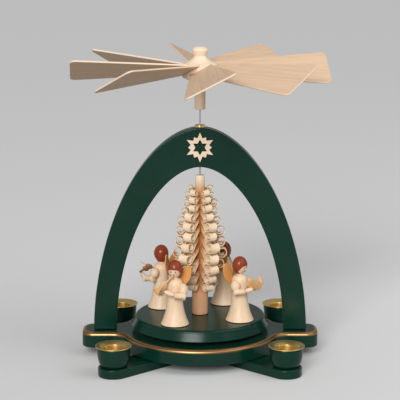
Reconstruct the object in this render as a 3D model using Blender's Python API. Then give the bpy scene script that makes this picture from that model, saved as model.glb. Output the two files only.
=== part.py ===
"""Christmas pyramid: warm air from candles turns a slatted wheel, and with it a table of angel musicians.

Metres, +Z up. The origin is on the floor, under the shaft. The stand (cross bars, base, candle cups and arch)
is fixed. Everything on the shaft (wheel, sleeve, turntable, shaved tree and angels) turns about Z.
"""

import math

import bmesh
import bpy
from mathutils import Matrix, Vector

# Fits
SEAT_GAP = 0.0003
RUNNING_GAP = 0.0009

# Cross bars on the floor
BAR_THICKNESS = 0.0083
BAR_WIDTH = 0.0276
BAR_BEARING = math.radians(42.7)
CUP_STANDOFF = 0.031

# Turntable
TABLE_TOP_RADIUS = 0.059
TABLE_FOOT_SPREAD = 0.003
TABLE_THICKNESS = 0.0096
TABLE_EDGE_ROUND = 0.0028
TABLE_LIFT = 0.0043

# Base plate
BASE_THICKNESS = 0.0142
BASE_MARGIN = 0.0093
BASE_EDGE_ROUND = 0.003
EAR_DEPTH = 0.0332
EAR_MARGIN = 0.0106
EAR_CORNER = 0.005
EAR_BLEND = 0.014

# Arch
ARCH_SIDE_ROOM = 0.0138
ARCH_LEG_WIDTH = 0.0204
ARCH_DEPTH = 0.014
ARCH_CROWN = 0.0353
ARCH_HEADROOM = 0.0082
ARCH_POWER = 1.85
DOWEL_RADIUS = 0.003
DOWEL_IN_LEG = 0.012
DOWEL_IN_BASE = 0.009

# Star on the front of the arch
STAR_POINTS = 6
STAR_RADIUS = 0.0135
STAR_SHORT_RADIUS = 0.0105
STAR_VALLEY_RADIUS = 0.0084
STAR_HOLE_RADIUS = 0.0071
STAR_HOLE_VALLEY = 0.0041
STAR_THICKNESS = 0.002
STAR_DROP = 0.0171

# Shaft and its bearings
SHAFT_RADIUS = 0.0007
SHAFT_POINT = 0.003
BUSH_FLANGE_RADIUS = 0.0047
BUSH_FLANGE_HEIGHT = 0.0026
BUSH_SEAT_DEPTH = 0.0006
BUSH_BODY_RADIUS = 0.003
BUSH_BODY_LENGTH = 0.012
BEARING_RADIUS = 0.0042
BEARING_HEIGHT = 0.0042
BEARING_DIMPLE_RADIUS = 0.0026
BEARING_DIMPLE_DEPTH = 0.0022
SCREW_HEAD_RADIUS = 0.0036
SCREW_HEAD_HEIGHT = 0.0022
SCREW_HEAD_RIM = 0.0005
SCREW_SHANK_RADIUS = 0.0018
SCREW_IN_BASE = 0.006
SCREW_RECESS = 0.0006

# Candle cups and their brass dishes
CUP_HEIGHT = 0.017
CUP_FOOT_RADIUS = 0.0107
CUP_RIM_RADIUS = 0.014
CUP_RIM_WALL = 0.0012
CUP_TENON_RADIUS = 0.004
CUP_TENON_LENGTH = 0.0055
SOCKET_RADIUS = 0.0089
CUP_FLOOR = 0.0034
BRASS = 0.0008
DISH_BRIM = 0.0014
DISH_LIP = 0.0005
DISH_SLOPE = 0.0026

# Wheel of slats
SLEEVE_RADIUS = 0.00485
SLEEVE_LENGTH = 0.0256
SLEEVE_LIFT = 0.014
SLEEVE_TENON = 0.006
HUB_RADIUS = 0.0162
HUB_WALL = 0.0118
HUB_FOOT_RADIUS = 0.0095
HUB_FOOT = 0.0028
HUB_CONE = 0.0066
HUB_DRAFT = 0.0007
HUB_SHOULDER_RADIUS = 0.01
HUB_SHOULDER = 0.0025
NECK_RADIUS = 0.0054
KNOB_RADIUS = 0.0072
KNOB_HEIGHT = 0.009
KNOB_WIDEST = 0.0056
BLADE_COUNT = 8
BLADE_TIP = 0.1146
BLADE_TIP_WIDTH = 0.0494
BLADE_ROOT_WIDTH = 0.0208
BLADE_SLOT_DEPTH = 0.0052
BLADE_DROP = 0.0046
BLADE_THICKNESS = 0.0016
BLADE_CORNER = 0.005
BLADE_PITCH = math.radians(26.8)
BLADE_PHASE = math.radians(4.47)

# Shaved tree
TREE_HEIGHT = 0.1277
TRUNK_FOOT_RADIUS = 0.0077
TRUNK_TOP_RADIUS = 0.0038
CURL_ROWS = 6
CURL_TIERS = 9
CURL_WIDEST_TIER = 5
CURL_TOP_MARGIN = 0.0118
CURL_TOP_RADIUS = 0.003
CURL_WIDEST_RADIUS = 0.0052
CURL_FOOT_RADIUS = 0.0034
CURL_TOP_REACH = 0.0085
CURL_FOOT_REACH = 0.0118
CURL_SIDE_ROOM = 0.0058
CURL_WIDTH_RATIO = 1.5
CURL_ROOT_NARROWING = 0.55
CURL_SPACING = 0.0014
CURL_SHAVING = 0.0006
CURL_HOOK = 0.62
CURL_HOOK_EASE = 1.5
CURL_START = math.radians(-135)
CURL_TURN = math.radians(385)
CURL_ROOT_SINK = 0.0012

# Angels
ANGEL_BEARINGS = {"horn": 238, "songbook": 328, "flute": 58, "violin": 148}
ANGEL_EDGE_MARGIN = 0.0043
HEM_RADIUS = 0.0128
HEM_LIP = 0.0009
WAIST_RADIUS = 0.0074
WAIST_HEIGHT = 0.03
SKIRT_FLARE = 2.3
CHEST_RADIUS = 0.0077
CHEST_RISE = 0.0055
SHOULDER_RISE = 0.006
SHOULDER_SET = 0.0012
SHOULDER_OUT = 0.0084
NECK_SKIN_RADIUS = 0.003
HEAD_RADIUS = 0.0064
HEAD_HALF_HEIGHT = 0.0079
NECK_LENGTH = 0.0015
LIP_GAP = 0.0012
LIP_DROP = 0.0045
WING_LENGTH = 0.0112
WING_WIDTH = 0.0052
WING_TILT = math.radians(20)
WING_OUT = 0.0048
WING_RISE = 0.0068
WING_THICKNESS = 0.0012
WING_SWEEP = 0.3
PUFF_RADIUS = 0.004
PUFF_CAP = 0.0026
PUFF_TURN_IN = 0.0012
FOREARM_RADIUS = 0.0026
FOREARM_INSET = 0.0012
CUFF_RADIUS = 0.0031
CUFF_LENGTH = 0.0011
HAND_RADIUS = 0.0023
HAND_INSET = 0.0006
HAND_TIP = 0.0013
HORN_MOUTH = (0.0185, -0.008, -0.0055)
HORN_SHAPE = ((0, 0.0007), (0.7, 0.0012), (0.88, 0.0023), (1, 0.0044))
FLUTE_FOOT = (0.0185, 0, -0.0067)
FLUTE_SHAPE = ((0, 0.0008), (0.12, 0.0011), (0.16, 0.001), (0.9, 0.0011), (1, 0.0014))
BOOK_HEIGHT = 0.0085
BOOK_BOARD = 0.0014
BOOK_STANDOFF = 0.0118
BOOK_HALF_WIDTH = 0.0088
BOOK_LEAF_DEPTH = 0.0095
BOOK_DROP = 0.0065
BOOK_LEAN = math.radians(30)
VIOLIN_BODY = 0.0092
VIOLIN_NECK = 0.0061
VIOLIN_HALF_WIDTH = 0.0036
VIOLIN_NECK_HALF_WIDTH = 0.0008
VIOLIN_DEPTH = 0.0024
VIOLIN_STANDOFF = 0.001
VIOLIN_LEFT = 0.0045
VIOLIN_RISE = 0.002
VIOLIN_DIP = math.radians(35)
VIOLIN_ROLL = math.radians(35)
VIOLIN_SHAPE = ((0, 0.35), (0.14, 0.94), (0.32, 0.96), (0.52, 0.66), (0.7, 0.84), (0.88, 0.62))
BOW_SHAPE = ((0, 0.0008), (0.08, 0.0008), (0.1, 0.0006), (1, 0.0006))
BOW_PLACE = 0.0041
BOW_HEEL_REACH = 0.0135
BOW_TIP_REACH = 0.009

# Facets
STEPS_LARGE = 28
STEPS_MEDIUM = 16
STEPS_SMALL = 12
BAR_END_STEPS = 10
EAR_CORNER_STEPS = 3
EAR_BLEND_STEPS = 4
BASE_QUARTER_STEPS = 9
EDGE_STEPS = 3
BOWL_STEPS = 4
KNOB_STEPS = 4
BLADE_CORNER_STEPS = 3
ARCH_HALF_STEPS = 14
CURL_STEPS = 7
CURL_WIDENING_STEPS = 2
SKIRT_STEPS = 4
SKIRT_STEP_EASE = 1.4
SHOULDER_STEPS = 3
HEAD_STEPS = 6
WING_STEPS = 12
ARM_SIDES = 8
PUFF_STEPS = 5
HAND_STEPS = 4
HORN_SIDES = 10
BOW_SIDES = 6
SMOOTH_ANGLE = math.radians(35)
SAME_POINT = 1e-6

# Levels up the pyramid
BASE_FOOT = BAR_THICKNESS + SEAT_GAP
BASE_TOP = BASE_FOOT + BASE_THICKNESS
TABLE_FOOT = BASE_TOP + TABLE_LIFT
TABLE_TOP = TABLE_FOOT + TABLE_THICKNESS
TREE_FOOT = TABLE_TOP + SEAT_GAP
TREE_TOP = TREE_FOOT + TREE_HEIGHT
ARCH_FOOT = BASE_TOP + SEAT_GAP
ARCH_INNER_TOP = TREE_TOP + ARCH_HEADROOM
ARCH_TOP = ARCH_INNER_TOP + ARCH_CROWN
BUSH_SEAT = ARCH_TOP - BUSH_SEAT_DEPTH
SLEEVE_FOOT = BUSH_SEAT + BUSH_FLANGE_HEIGHT + SLEEVE_LIFT
HUB_BOTTOM = SLEEVE_FOOT + SLEEVE_LENGTH
HUB_RIM = HUB_BOTTOM + HUB_FOOT + HUB_WALL
ROTOR_PLANE = HUB_RIM - BLADE_DROP

# Spreads that follow from the sizes above
TABLE_FOOT_RADIUS = TABLE_TOP_RADIUS + TABLE_FOOT_SPREAD
BASE_RADIUS = TABLE_FOOT_RADIUS + BASE_MARGIN
ARCH_INNER_HALF = TABLE_FOOT_RADIUS + ARCH_SIDE_ROOM
ARCH_OUTER_HALF = ARCH_INNER_HALF + ARCH_LEG_WIDTH
CUP_REACH = BASE_RADIUS + CUP_STANDOFF
LEG_CENTRE = ARCH_INNER_HALF + ARCH_LEG_WIDTH / 2
EAR_REACH = ARCH_OUTER_HALF + EAR_MARGIN
SHAFT_BORE = SHAFT_RADIUS + SEAT_GAP
BEARING_FOOT = BASE_TOP - BEARING_HEIGHT
ANGEL_RING = TABLE_TOP_RADIUS - ANGEL_EDGE_MARGIN - HEM_RADIUS
CHEST_HEIGHT = WAIST_HEIGHT + CHEST_RISE
SHOULDER_HEIGHT = CHEST_HEIGHT + SHOULDER_SET
HEAD_SEAT = CHEST_HEIGHT + SHOULDER_RISE + NECK_LENGTH
HEAD_HEIGHT = HEAD_SEAT + HEAD_HALF_HEIGHT * math.sqrt(1 - (NECK_SKIN_RADIUS / HEAD_RADIUS) ** 2)
WING_HEIGHT = SHOULDER_HEIGHT + WING_RISE
BOOK_REACH = CHEST_RADIUS + BOOK_STANDOFF
BOOK_FOOT = SHOULDER_HEIGHT - BOOK_DROP
SOCKET_OUTER = SOCKET_RADIUS + BRASS
BLADE_ROOT = HUB_RADIUS - BLADE_SLOT_DEPTH


def clear_scene():
    for obj in list(bpy.data.objects):
        bpy.data.objects.remove(obj)


def finish_material(name, colour, roughness, metallic=0.0):
    material = bpy.data.materials.new(name)
    material.use_nodes = True
    shader = material.node_tree.nodes["Principled BSDF"]
    shader.inputs["Base Color"].default_value = (*colour, 1.0)
    shader.inputs["Roughness"].default_value = roughness
    shader.inputs["Metallic"].default_value = metallic
    return material


def pivot(name):
    empty = bpy.data.objects.new(name, None)
    bpy.context.scene.collection.objects.link(empty)
    return empty


def add_piece(name, bm, material, parent):
    """Turns a closed bmesh into a named object that faces out."""
    bmesh.ops.recalc_face_normals(bm, faces=bm.faces[:])
    mesh = bpy.data.meshes.new(name)
    bm.to_mesh(mesh)
    bm.free()
    mesh.shade_smooth()
    mesh.set_sharp_from_angle(angle=SMOOTH_ANGLE)
    mesh.materials.append(material)
    obj = bpy.data.objects.new(name, mesh)
    bpy.context.scene.collection.objects.link(obj)
    obj.parent = parent
    return obj


def combine(obj, bm, operation):
    """Adds a Boolean of this shape, kept as a hidden wire helper, to a piece."""
    helper = add_piece(f"{obj.name}_{operation.lower()}_{len(obj.modifiers)}", bm, None, obj.parent)
    helper.hide_render = True
    helper.display_type = "WIRE"
    modifier = obj.modifiers.new(operation.title(), "BOOLEAN")
    modifier.operation = operation
    modifier.solver = "EXACT"
    modifier.object = helper


def moved(bm, matrix):
    bmesh.ops.transform(bm, matrix=matrix, verts=bm.verts[:])
    return bm


def lifted(bm, height):
    return moved(bm, Matrix.Translation((0, 0, height)))


def arc(centre, radius, start, end, steps):
    """Points round a circle, from one angle to another in radians."""
    angles = (start + (end - start) * step / steps for step in range(steps + 1))
    return [(centre[0] + radius * math.cos(a), centre[1] + radius * math.sin(a)) for a in angles]


def turned(profile, steps):
    """A lathe shape about Z. A profile that begins off the axis closes on itself and leaves a bore."""
    bm = bmesh.new()
    points = [bm.verts.new((radius, 0, height)) for radius, height in profile]
    pairs = list(zip(points, points[1:]))
    if profile[0][0] > 0:
        pairs.append((points[-1], points[0]))
    edges = [bm.edges.new(pair) for pair in pairs]
    bmesh.ops.spin(
        bm,
        geom=points + edges,
        axis=(0, 0, 1),
        cent=(0, 0, 0),
        angle=2 * math.pi,
        steps=steps,
        use_merge=True,
    )
    bmesh.ops.remove_doubles(bm, verts=bm.verts[:], dist=SAME_POINT)
    bmesh.ops.recalc_face_normals(bm, faces=bm.faces[:])
    return bm


def rod(radius, low, high, steps=STEPS_SMALL):
    return turned([(0, high), (radius, high), (radius, low), (0, low)], steps)


def prism(outline, low, high):
    """The outline's (x, y) points carried from one height to another."""
    bm = bmesh.new()
    face = bm.faces.new([bm.verts.new((x, y, low)) for x, y in outline])
    sweep = bmesh.ops.extrude_face_region(bm, geom=[face])
    top = [item for item in sweep["geom"] if isinstance(item, bmesh.types.BMVert)]
    bmesh.ops.translate(bm, verts=top, vec=(0, 0, high - low))
    bmesh.ops.recalc_face_normals(bm, faces=bm.faces[:])
    return bm


def loft(bm, rings):
    """Skins a run of point rings and caps both ends."""
    loops = [[bm.verts.new(point) for point in ring] for ring in rings]
    for near, far in zip(loops, loops[1:]):
        for i, corner in enumerate(near):
            j = (i + 1) % len(near)
            bm.faces.new((corner, near[j], far[j], far[i]))
    bm.faces.new(loops[0][::-1])
    bm.faces.new(loops[-1])


def tube(points, radii, sides):
    """A round limb through points in space, with a radius at each."""
    points = [Vector(point) for point in points]
    rings = []
    side = None
    for i, centre in enumerate(points):
        along = (points[min(i + 1, len(points) - 1)] - points[max(i - 1, 0)]).normalized()
        reference = side if side else Vector((0, 0, 1)).cross(along)
        side = (reference - along * reference.dot(along)).normalized()
        other = along.cross(side)
        turns = (2 * math.pi * (k + 0.5) / sides for k in range(sides))
        rings.append([centre + (side * math.cos(a) + other * math.sin(a)) * radii[i] for a in turns])
    bm = bmesh.new()
    loft(bm, rings)
    bmesh.ops.recalc_face_normals(bm, faces=bm.faces[:])
    return bm


def quarter_turn(bm):
    """Stands a flat outline up, so that its y points run along Z and its thickness along Y."""
    return moved(bm, Matrix.Rotation(math.pi / 2, 4, "X"))


def bearing(angle):
    return Matrix.Rotation(angle, 4, "Z")


def bar_outline(grow=0.0):
    half = BAR_WIDTH / 2 + grow
    right = arc((CUP_REACH, 0), half, -math.pi / 2, math.pi / 2, BAR_END_STEPS)
    left = arc((-CUP_REACH, 0), half, math.pi / 2, 3 * math.pi / 2, BAR_END_STEPS)
    return right + left


def add_cross_bars(paint, steel, stand):
    """Two bars halved into each other, with a socket for a cup at each end and a screw up the middle."""
    middle = BAR_THICKNESS / 2
    upper_notch = (middle, 2 * BAR_THICKNESS)
    lower_notch = (-BAR_THICKNESS, middle + SEAT_GAP)
    for name, side, (low, high) in (("a", 1, upper_notch), ("b", -1, lower_notch)):
        along = bearing(side * BAR_BEARING)
        board = prism(bar_outline(), 0, BAR_THICKNESS)
        bar = add_piece(f"cross_bar_{name}", moved(board, along), paint, stand)
        notch = prism(bar_outline(SEAT_GAP), low, high)
        combine(bar, moved(notch, bearing(-side * BAR_BEARING)), "DIFFERENCE")
        floor = BAR_THICKNESS - CUP_TENON_LENGTH - SEAT_GAP
        for end in (1, -1):
            socket = rod(CUP_TENON_RADIUS + SEAT_GAP, floor, 2 * BAR_THICKNESS)
            combine(bar, moved(socket, along @ Matrix.Translation((end * CUP_REACH, 0, 0))), "DIFFERENCE")
        combine(bar, screw_hole(), "DIFFERENCE")
    add_piece("cross_screw", turned(screw_profile(), STEPS_SMALL), steel, stand)


def screw_profile(grow=0.0, foot=SCREW_RECESS):
    """A countersunk wood screw that stands on its head. Grown and with a lower foot, it is the hole."""
    tip = BASE_FOOT + SCREW_IN_BASE + grow
    return [
        (0, tip),
        (SCREW_SHANK_RADIUS + grow, tip - 2 * SCREW_SHANK_RADIUS),
        (SCREW_SHANK_RADIUS + grow, SCREW_RECESS + SCREW_HEAD_HEIGHT + grow),
        (SCREW_HEAD_RADIUS + grow, SCREW_RECESS + SCREW_HEAD_RIM + grow),
        (SCREW_HEAD_RADIUS + grow, foot),
        (0, foot),
    ]


def screw_hole():
    return turned(screw_profile(SEAT_GAP, -SCREW_RECESS), STEPS_SMALL)


def base_quarter():
    """From the ear's end round its corner, through the hollow blend and along the disc to the front."""
    half = EAR_DEPTH / 2
    hollow_y = half + EAR_BLEND
    hollow_x = math.sqrt((BASE_RADIUS + EAR_BLEND) ** 2 - hollow_y**2)
    meeting = math.atan2(hollow_y, hollow_x)
    corner = arc((EAR_REACH - EAR_CORNER, half - EAR_CORNER), EAR_CORNER, 0, math.pi / 2, EAR_CORNER_STEPS)
    hollow = arc((hollow_x, hollow_y), EAR_BLEND, -math.pi / 2, meeting - math.pi, EAR_BLEND_STEPS)
    disc = arc((0, 0), BASE_RADIUS, meeting, math.pi / 2, BASE_QUARTER_STEPS)
    return corner + hollow + disc[1:]


def add_base(paint, stand):
    quarter = base_quarter()
    left = [(-x, y) for x, y in reversed(quarter[:-1])]
    half = quarter + left
    outline = half + [(-x, -y) for x, y in half]
    outline = [point for i, point in enumerate(outline) if math.dist(point, outline[i - 1]) > SAME_POINT]
    bm = prism(outline, BASE_FOOT, BASE_TOP)
    rim = [e for e in bm.edges if all(v.co.z > BASE_TOP - SAME_POINT for v in e.verts)]
    bmesh.ops.bevel(
        bm, geom=rim, offset=BASE_EDGE_ROUND, segments=EDGE_STEPS - 1, profile=0.5, affect="EDGES"
    )
    base = add_piece("base_plate", bm, paint, stand)
    recess = rod(BEARING_RADIUS + SEAT_GAP, BEARING_FOOT - SEAT_GAP, 2 * BASE_TOP)
    combine(base, recess, "DIFFERENCE")
    combine(base, screw_hole(), "DIFFERENCE")
    for side in (1, -1):
        hole = rod(DOWEL_RADIUS + SEAT_GAP, BASE_TOP - DOWEL_IN_BASE - SEAT_GAP, 2 * BASE_TOP)
        combine(base, moved(hole, Matrix.Translation((side * LEG_CENTRE, 0, 0))), "DIFFERENCE")


def cup_profile():
    """Tenon, foot, round bowl and rim, then down the inside over the dish's seat to the socket's bore."""
    bowl_span = CUP_RIM_RADIUS - CUP_FOOT_RADIUS
    bowl = []
    for step in range(BOWL_STEPS + 1):
        turn = math.pi / 2 * step / BOWL_STEPS
        height = CUP_HEIGHT * (1 - math.cos(turn))
        bowl.append((CUP_FOOT_RADIUS + bowl_span * math.sin(turn), height))
    mouth = CUP_RIM_RADIUS - CUP_RIM_WALL
    bore = SOCKET_OUTER + SEAT_GAP
    inside = [(mouth, CUP_HEIGHT), (bore, CUP_HEIGHT - DISH_SLOPE), (bore, CUP_FLOOR), (0, CUP_FLOOR)]
    tenon = [(0, -CUP_TENON_LENGTH), (CUP_TENON_RADIUS, -CUP_TENON_LENGTH), (CUP_TENON_RADIUS, 0)]
    return (tenon + bowl + inside)[::-1]


def dish_profile():
    """Thin brass: a brim over the cup's rim, a slope that catches wax and a socket for the candle."""
    brim = CUP_RIM_RADIUS + DISH_BRIM
    mouth = CUP_RIM_RADIUS - CUP_RIM_WALL
    under = CUP_HEIGHT + SEAT_GAP
    top = under + BRASS
    floor = CUP_FLOOR + SEAT_GAP
    socket = [(0, floor + BRASS), (SOCKET_RADIUS, floor + BRASS), (SOCKET_RADIUS, top - DISH_SLOPE)]
    upper = [(mouth, top), (CUP_RIM_RADIUS, top), (brim, top + DISH_LIP)]
    lower = [(brim, under + DISH_LIP), (CUP_RIM_RADIUS, under), (mouth, under)]
    return socket + upper + lower + [(SOCKET_OUTER, under - DISH_SLOPE), (SOCKET_OUTER, floor), (0, floor)]


def add_candle_cups(paint, brass, stand):
    for index, (side, front) in enumerate(((-1, -1), (1, -1), (1, 1), (-1, 1)), start=1):
        place = Matrix.Translation((
            side * CUP_REACH * math.cos(BAR_BEARING),
            front * CUP_REACH * math.sin(BAR_BEARING),
            BAR_THICKNESS + SEAT_GAP,
        ))
        add_piece(f"candle_cup_{index}", moved(turned(cup_profile(), STEPS_MEDIUM), place), paint, stand)
        add_piece(f"candle_dish_{index}", moved(turned(dish_profile(), STEPS_MEDIUM), place), brass, stand)


def arch_curve(half_width, height, steps):
    """A rounded, slightly pointed vault from the right foot over the crown to the left foot."""
    points = []
    for step in range(2 * steps + 1):
        turn = math.pi * step / (2 * steps)
        across = math.copysign(abs(math.cos(turn)) ** (2 / ARCH_POWER), math.cos(turn))
        points.append((half_width * across, height * abs(math.sin(turn)) ** (2 / ARCH_POWER)))
    return points


def add_arch(paint, wood, stand):
    outer = arch_curve(ARCH_OUTER_HALF, ARCH_TOP - ARCH_FOOT, ARCH_HALF_STEPS)
    inner = arch_curve(ARCH_INNER_HALF, ARCH_INNER_TOP - ARCH_FOOT, ARCH_HALF_STEPS)
    bm = quarter_turn(prism(outer + inner[::-1], -ARCH_DEPTH / 2, ARCH_DEPTH / 2))
    arch = add_piece("arch", lifted(bm, ARCH_FOOT), paint, stand)
    bush_bore = BUSH_BODY_RADIUS + SEAT_GAP
    flange_bore = BUSH_FLANGE_RADIUS + SEAT_GAP
    body_floor = BUSH_SEAT - BUSH_BODY_LENGTH - SEAT_GAP
    shaft_bore = SHAFT_RADIUS + RUNNING_GAP
    bore = [
        (0, ARCH_TOP + ARCH_CROWN),
        (flange_bore, ARCH_TOP + ARCH_CROWN),
        (flange_bore, BUSH_SEAT - SEAT_GAP),
        (bush_bore, BUSH_SEAT - SEAT_GAP),
        (bush_bore, body_floor),
        (shaft_bore, body_floor),
        (shaft_bore, ARCH_INNER_TOP - ARCH_HEADROOM / 2),
        (0, ARCH_INNER_TOP - ARCH_HEADROOM / 2),
    ]
    combine(arch, turned(bore, STEPS_SMALL), "DIFFERENCE")
    for name, side in (("left", -1), ("right", 1)):
        place = Matrix.Translation((side * LEG_CENTRE, 0, 0))
        hole = rod(DOWEL_RADIUS + SEAT_GAP, BASE_TOP - DOWEL_IN_LEG, ARCH_FOOT + DOWEL_IN_LEG + SEAT_GAP)
        combine(arch, moved(hole, place), "DIFFERENCE")
        dowel = rod(DOWEL_RADIUS, BASE_TOP - DOWEL_IN_BASE, ARCH_FOOT + DOWEL_IN_LEG)
        add_piece(f"arch_dowel_{name}", moved(dowel, place), wood, stand)


def star_outline(radii):
    """A star that cycles through these radii, with its first long point upward."""
    corners = radii * STAR_POINTS
    turns = [math.pi / 2 + 2 * math.pi * i / len(corners) for i in range(len(corners))]
    return [(radius * math.cos(a), radius * math.sin(a)) for radius, a in zip(corners, turns)]


def add_star(wood, stand):
    """A pierced star laid on the front of the arch's crown."""
    front = ARCH_DEPTH / 2 + SEAT_GAP
    lift = Matrix.Translation((0, 0, ARCH_TOP - STAR_DROP))
    rays = star_outline((STAR_RADIUS, STAR_VALLEY_RADIUS, STAR_SHORT_RADIUS, STAR_VALLEY_RADIUS))
    board = quarter_turn(prism(rays, front, front + STAR_THICKNESS))
    star = add_piece("arch_star", moved(board, lift), wood, stand)
    hole = prism(star_outline((STAR_HOLE_RADIUS, STAR_HOLE_VALLEY)), front / 2, front + 2 * STAR_THICKNESS)
    combine(star, moved(quarter_turn(hole), lift), "DIFFERENCE")


def add_bearings(brass, glass, stand):
    """The brass guide in the crown and the glass cup that the shaft's point stands in."""
    bush = [
        (SHAFT_BORE, BUSH_SEAT + BUSH_FLANGE_HEIGHT),
        (BUSH_FLANGE_RADIUS, BUSH_SEAT + BUSH_FLANGE_HEIGHT),
        (BUSH_FLANGE_RADIUS, BUSH_SEAT),
        (BUSH_BODY_RADIUS, BUSH_SEAT),
        (BUSH_BODY_RADIUS, BUSH_SEAT - BUSH_BODY_LENGTH),
        (SHAFT_BORE, BUSH_SEAT - BUSH_BODY_LENGTH),
    ]
    add_piece("arch_bush", turned(bush, STEPS_SMALL), brass, stand)
    cup = [
        (0, BASE_TOP - BEARING_DIMPLE_DEPTH),
        (BEARING_DIMPLE_RADIUS, BASE_TOP),
        (BEARING_RADIUS, BASE_TOP),
        (BEARING_RADIUS, BEARING_FOOT),
        (0, BEARING_FOOT),
    ]
    add_piece("bearing_cup", turned(cup, STEPS_SMALL), glass, stand)


def add_shaft(steel, rotor):
    """One steel wire from its point in the glass cup up into the hub."""
    point = BASE_TOP - BEARING_DIMPLE_DEPTH + SEAT_GAP
    top = HUB_RIM
    outline = [(0, top), (SHAFT_RADIUS, top), (SHAFT_RADIUS, point + SHAFT_POINT), (0, point)]
    add_piece("shaft", turned(outline, STEPS_SMALL), steel, rotor)


def add_turntable(paint, rotor):
    """A flat disc with a sloping side and a rounded top edge, on the shaft."""
    centre = (TABLE_TOP_RADIUS - TABLE_EDGE_ROUND, TABLE_TOP - TABLE_EDGE_ROUND)
    edge = arc(centre, TABLE_EDGE_ROUND, math.pi / 2, 0, EDGE_STEPS)
    outline = [(SHAFT_BORE, TABLE_TOP)] + edge + [(TABLE_FOOT_RADIUS, TABLE_FOOT), (SHAFT_BORE, TABLE_FOOT)]
    add_piece("turntable", turned(outline, STEPS_LARGE), paint, rotor)


def add_wheel(wood, rotor):
    """The turned hub with its knob, the sleeve under it and the slats in slanting slots."""
    sleeve_top = HUB_BOTTOM + SLEEVE_TENON
    sleeve_bore = SLEEVE_RADIUS + SEAT_GAP
    bore_top = HUB_RIM + SEAT_GAP
    cone_top = HUB_RIM + HUB_CONE
    knob = [
        (KNOB_RADIUS * math.sin(a), cone_top + KNOB_WIDEST + (KNOB_HEIGHT - KNOB_WIDEST) * math.cos(a))
        for a in (math.pi / 2 * step / KNOB_STEPS for step in range(KNOB_STEPS + 1))
    ]
    hub_outline = knob + [
        (NECK_RADIUS, cone_top),
        (HUB_SHOULDER_RADIUS, HUB_RIM + HUB_SHOULDER),
        (HUB_RADIUS, HUB_RIM),
        (HUB_RADIUS - HUB_DRAFT, HUB_RIM - HUB_WALL),
        (HUB_FOOT_RADIUS, HUB_BOTTOM),
        (sleeve_bore, HUB_BOTTOM),
        (sleeve_bore, sleeve_top + SEAT_GAP),
        (SHAFT_BORE, sleeve_top + SEAT_GAP),
        (SHAFT_BORE, bore_top),
        (0, bore_top),
    ]
    hub = add_piece("vane_hub", turned(hub_outline, STEPS_MEDIUM), wood, rotor)
    sleeve = [
        (SHAFT_BORE, sleeve_top),
        (SLEEVE_RADIUS, sleeve_top),
        (SLEEVE_RADIUS, SLEEVE_FOOT),
        (SHAFT_BORE, SLEEVE_FOOT),
    ]
    add_piece("shaft_sleeve", turned(sleeve, STEPS_SMALL), wood, rotor)
    for index in range(BLADE_COUNT):
        turn = bearing(BLADE_PHASE + 2 * math.pi * index / BLADE_COUNT)
        place = Matrix.Translation((0, 0, ROTOR_PLANE)) @ turn @ Matrix.Rotation(BLADE_PITCH, 4, "X")
        add_piece(f"vane_blade_{index + 1}", moved(blade(), place), wood, rotor)
        combine(hub, moved(blade(SEAT_GAP), place), "DIFFERENCE")


def blade(grow=0.0):
    """A thin slat that widens from its slot to a tip with rounded corners."""
    root = BLADE_ROOT_WIDTH / 2 + grow
    tip = BLADE_TIP_WIDTH / 2 + grow
    taper = math.atan2(tip - root, BLADE_TIP - BLADE_ROOT)
    inset = BLADE_CORNER * math.tan((math.pi / 2 + taper) / 2)
    centre = (BLADE_TIP - BLADE_CORNER, tip - inset)
    corner = arc(centre, BLADE_CORNER, 0, math.pi / 2 + taper, BLADE_CORNER_STEPS)
    side = corner + [(BLADE_ROOT - grow, root)]
    outline = side + [(x, -y) for x, y in reversed(side)]
    return prism(outline, -BLADE_THICKNESS / 2 - grow, BLADE_THICKNESS / 2 + grow)


def trunk_radius(height):
    share = (height - TREE_FOOT) / TREE_HEIGHT
    return TRUNK_FOOT_RADIUS + (TRUNK_TOP_RADIUS - TRUNK_FOOT_RADIUS) * share


def between(top, widest, foot, tier):
    """A size that runs evenly from the top tier to the widest one, and from there to the lowest."""
    if tier <= CURL_WIDEST_TIER:
        return top + (widest - top) * tier / CURL_WIDEST_TIER
    return widest + (foot - widest) * (tier - CURL_WIDEST_TIER) / (CURL_TIERS - 1 - CURL_WIDEST_TIER)


def curl_tiers():
    """(height, curl radius, reach of the curl's centre) of each tier, from the top down."""
    tiers = []
    wing_back = wing_plane() + WING_SWEEP * (WING_OUT + WING_WIDTH) + WING_THICKNESS
    widest_reach = ANGEL_RING - wing_back - CURL_WIDEST_RADIUS - CURL_SIDE_ROOM
    height = TREE_TOP - CURL_TOP_MARGIN
    for tier in range(CURL_TIERS):
        radius = between(CURL_TOP_RADIUS, CURL_WIDEST_RADIUS, CURL_FOOT_RADIUS, tier)
        reach = between(CURL_TOP_REACH, widest_reach, CURL_FOOT_REACH, tier)
        if tiers:
            height -= tiers[-1][1] + radius + CURL_SHAVING + CURL_SPACING
        tiers.append((height, radius, reach))
    return tiers


def curl_path(height, radius, reach):
    """(distance from the axis, height) points: out and down from the trunk, then up and over into a hook."""
    spiral = []
    for step in range(CURL_STEPS + 1):
        share = step / CURL_STEPS
        turn = CURL_START + CURL_TURN * share
        size = radius * (1 - (1 - CURL_HOOK) * share**CURL_HOOK_EASE)
        spiral.append((reach + size * math.cos(turn), height + size * math.sin(turn)))
    leave_x, leave_z = spiral[0]
    root_z = leave_z + leave_x - trunk_radius(leave_z)
    sunk = trunk_radius(root_z) - CURL_ROOT_SINK
    return [(sunk, leave_z + leave_x - sunk)] + spiral


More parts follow.
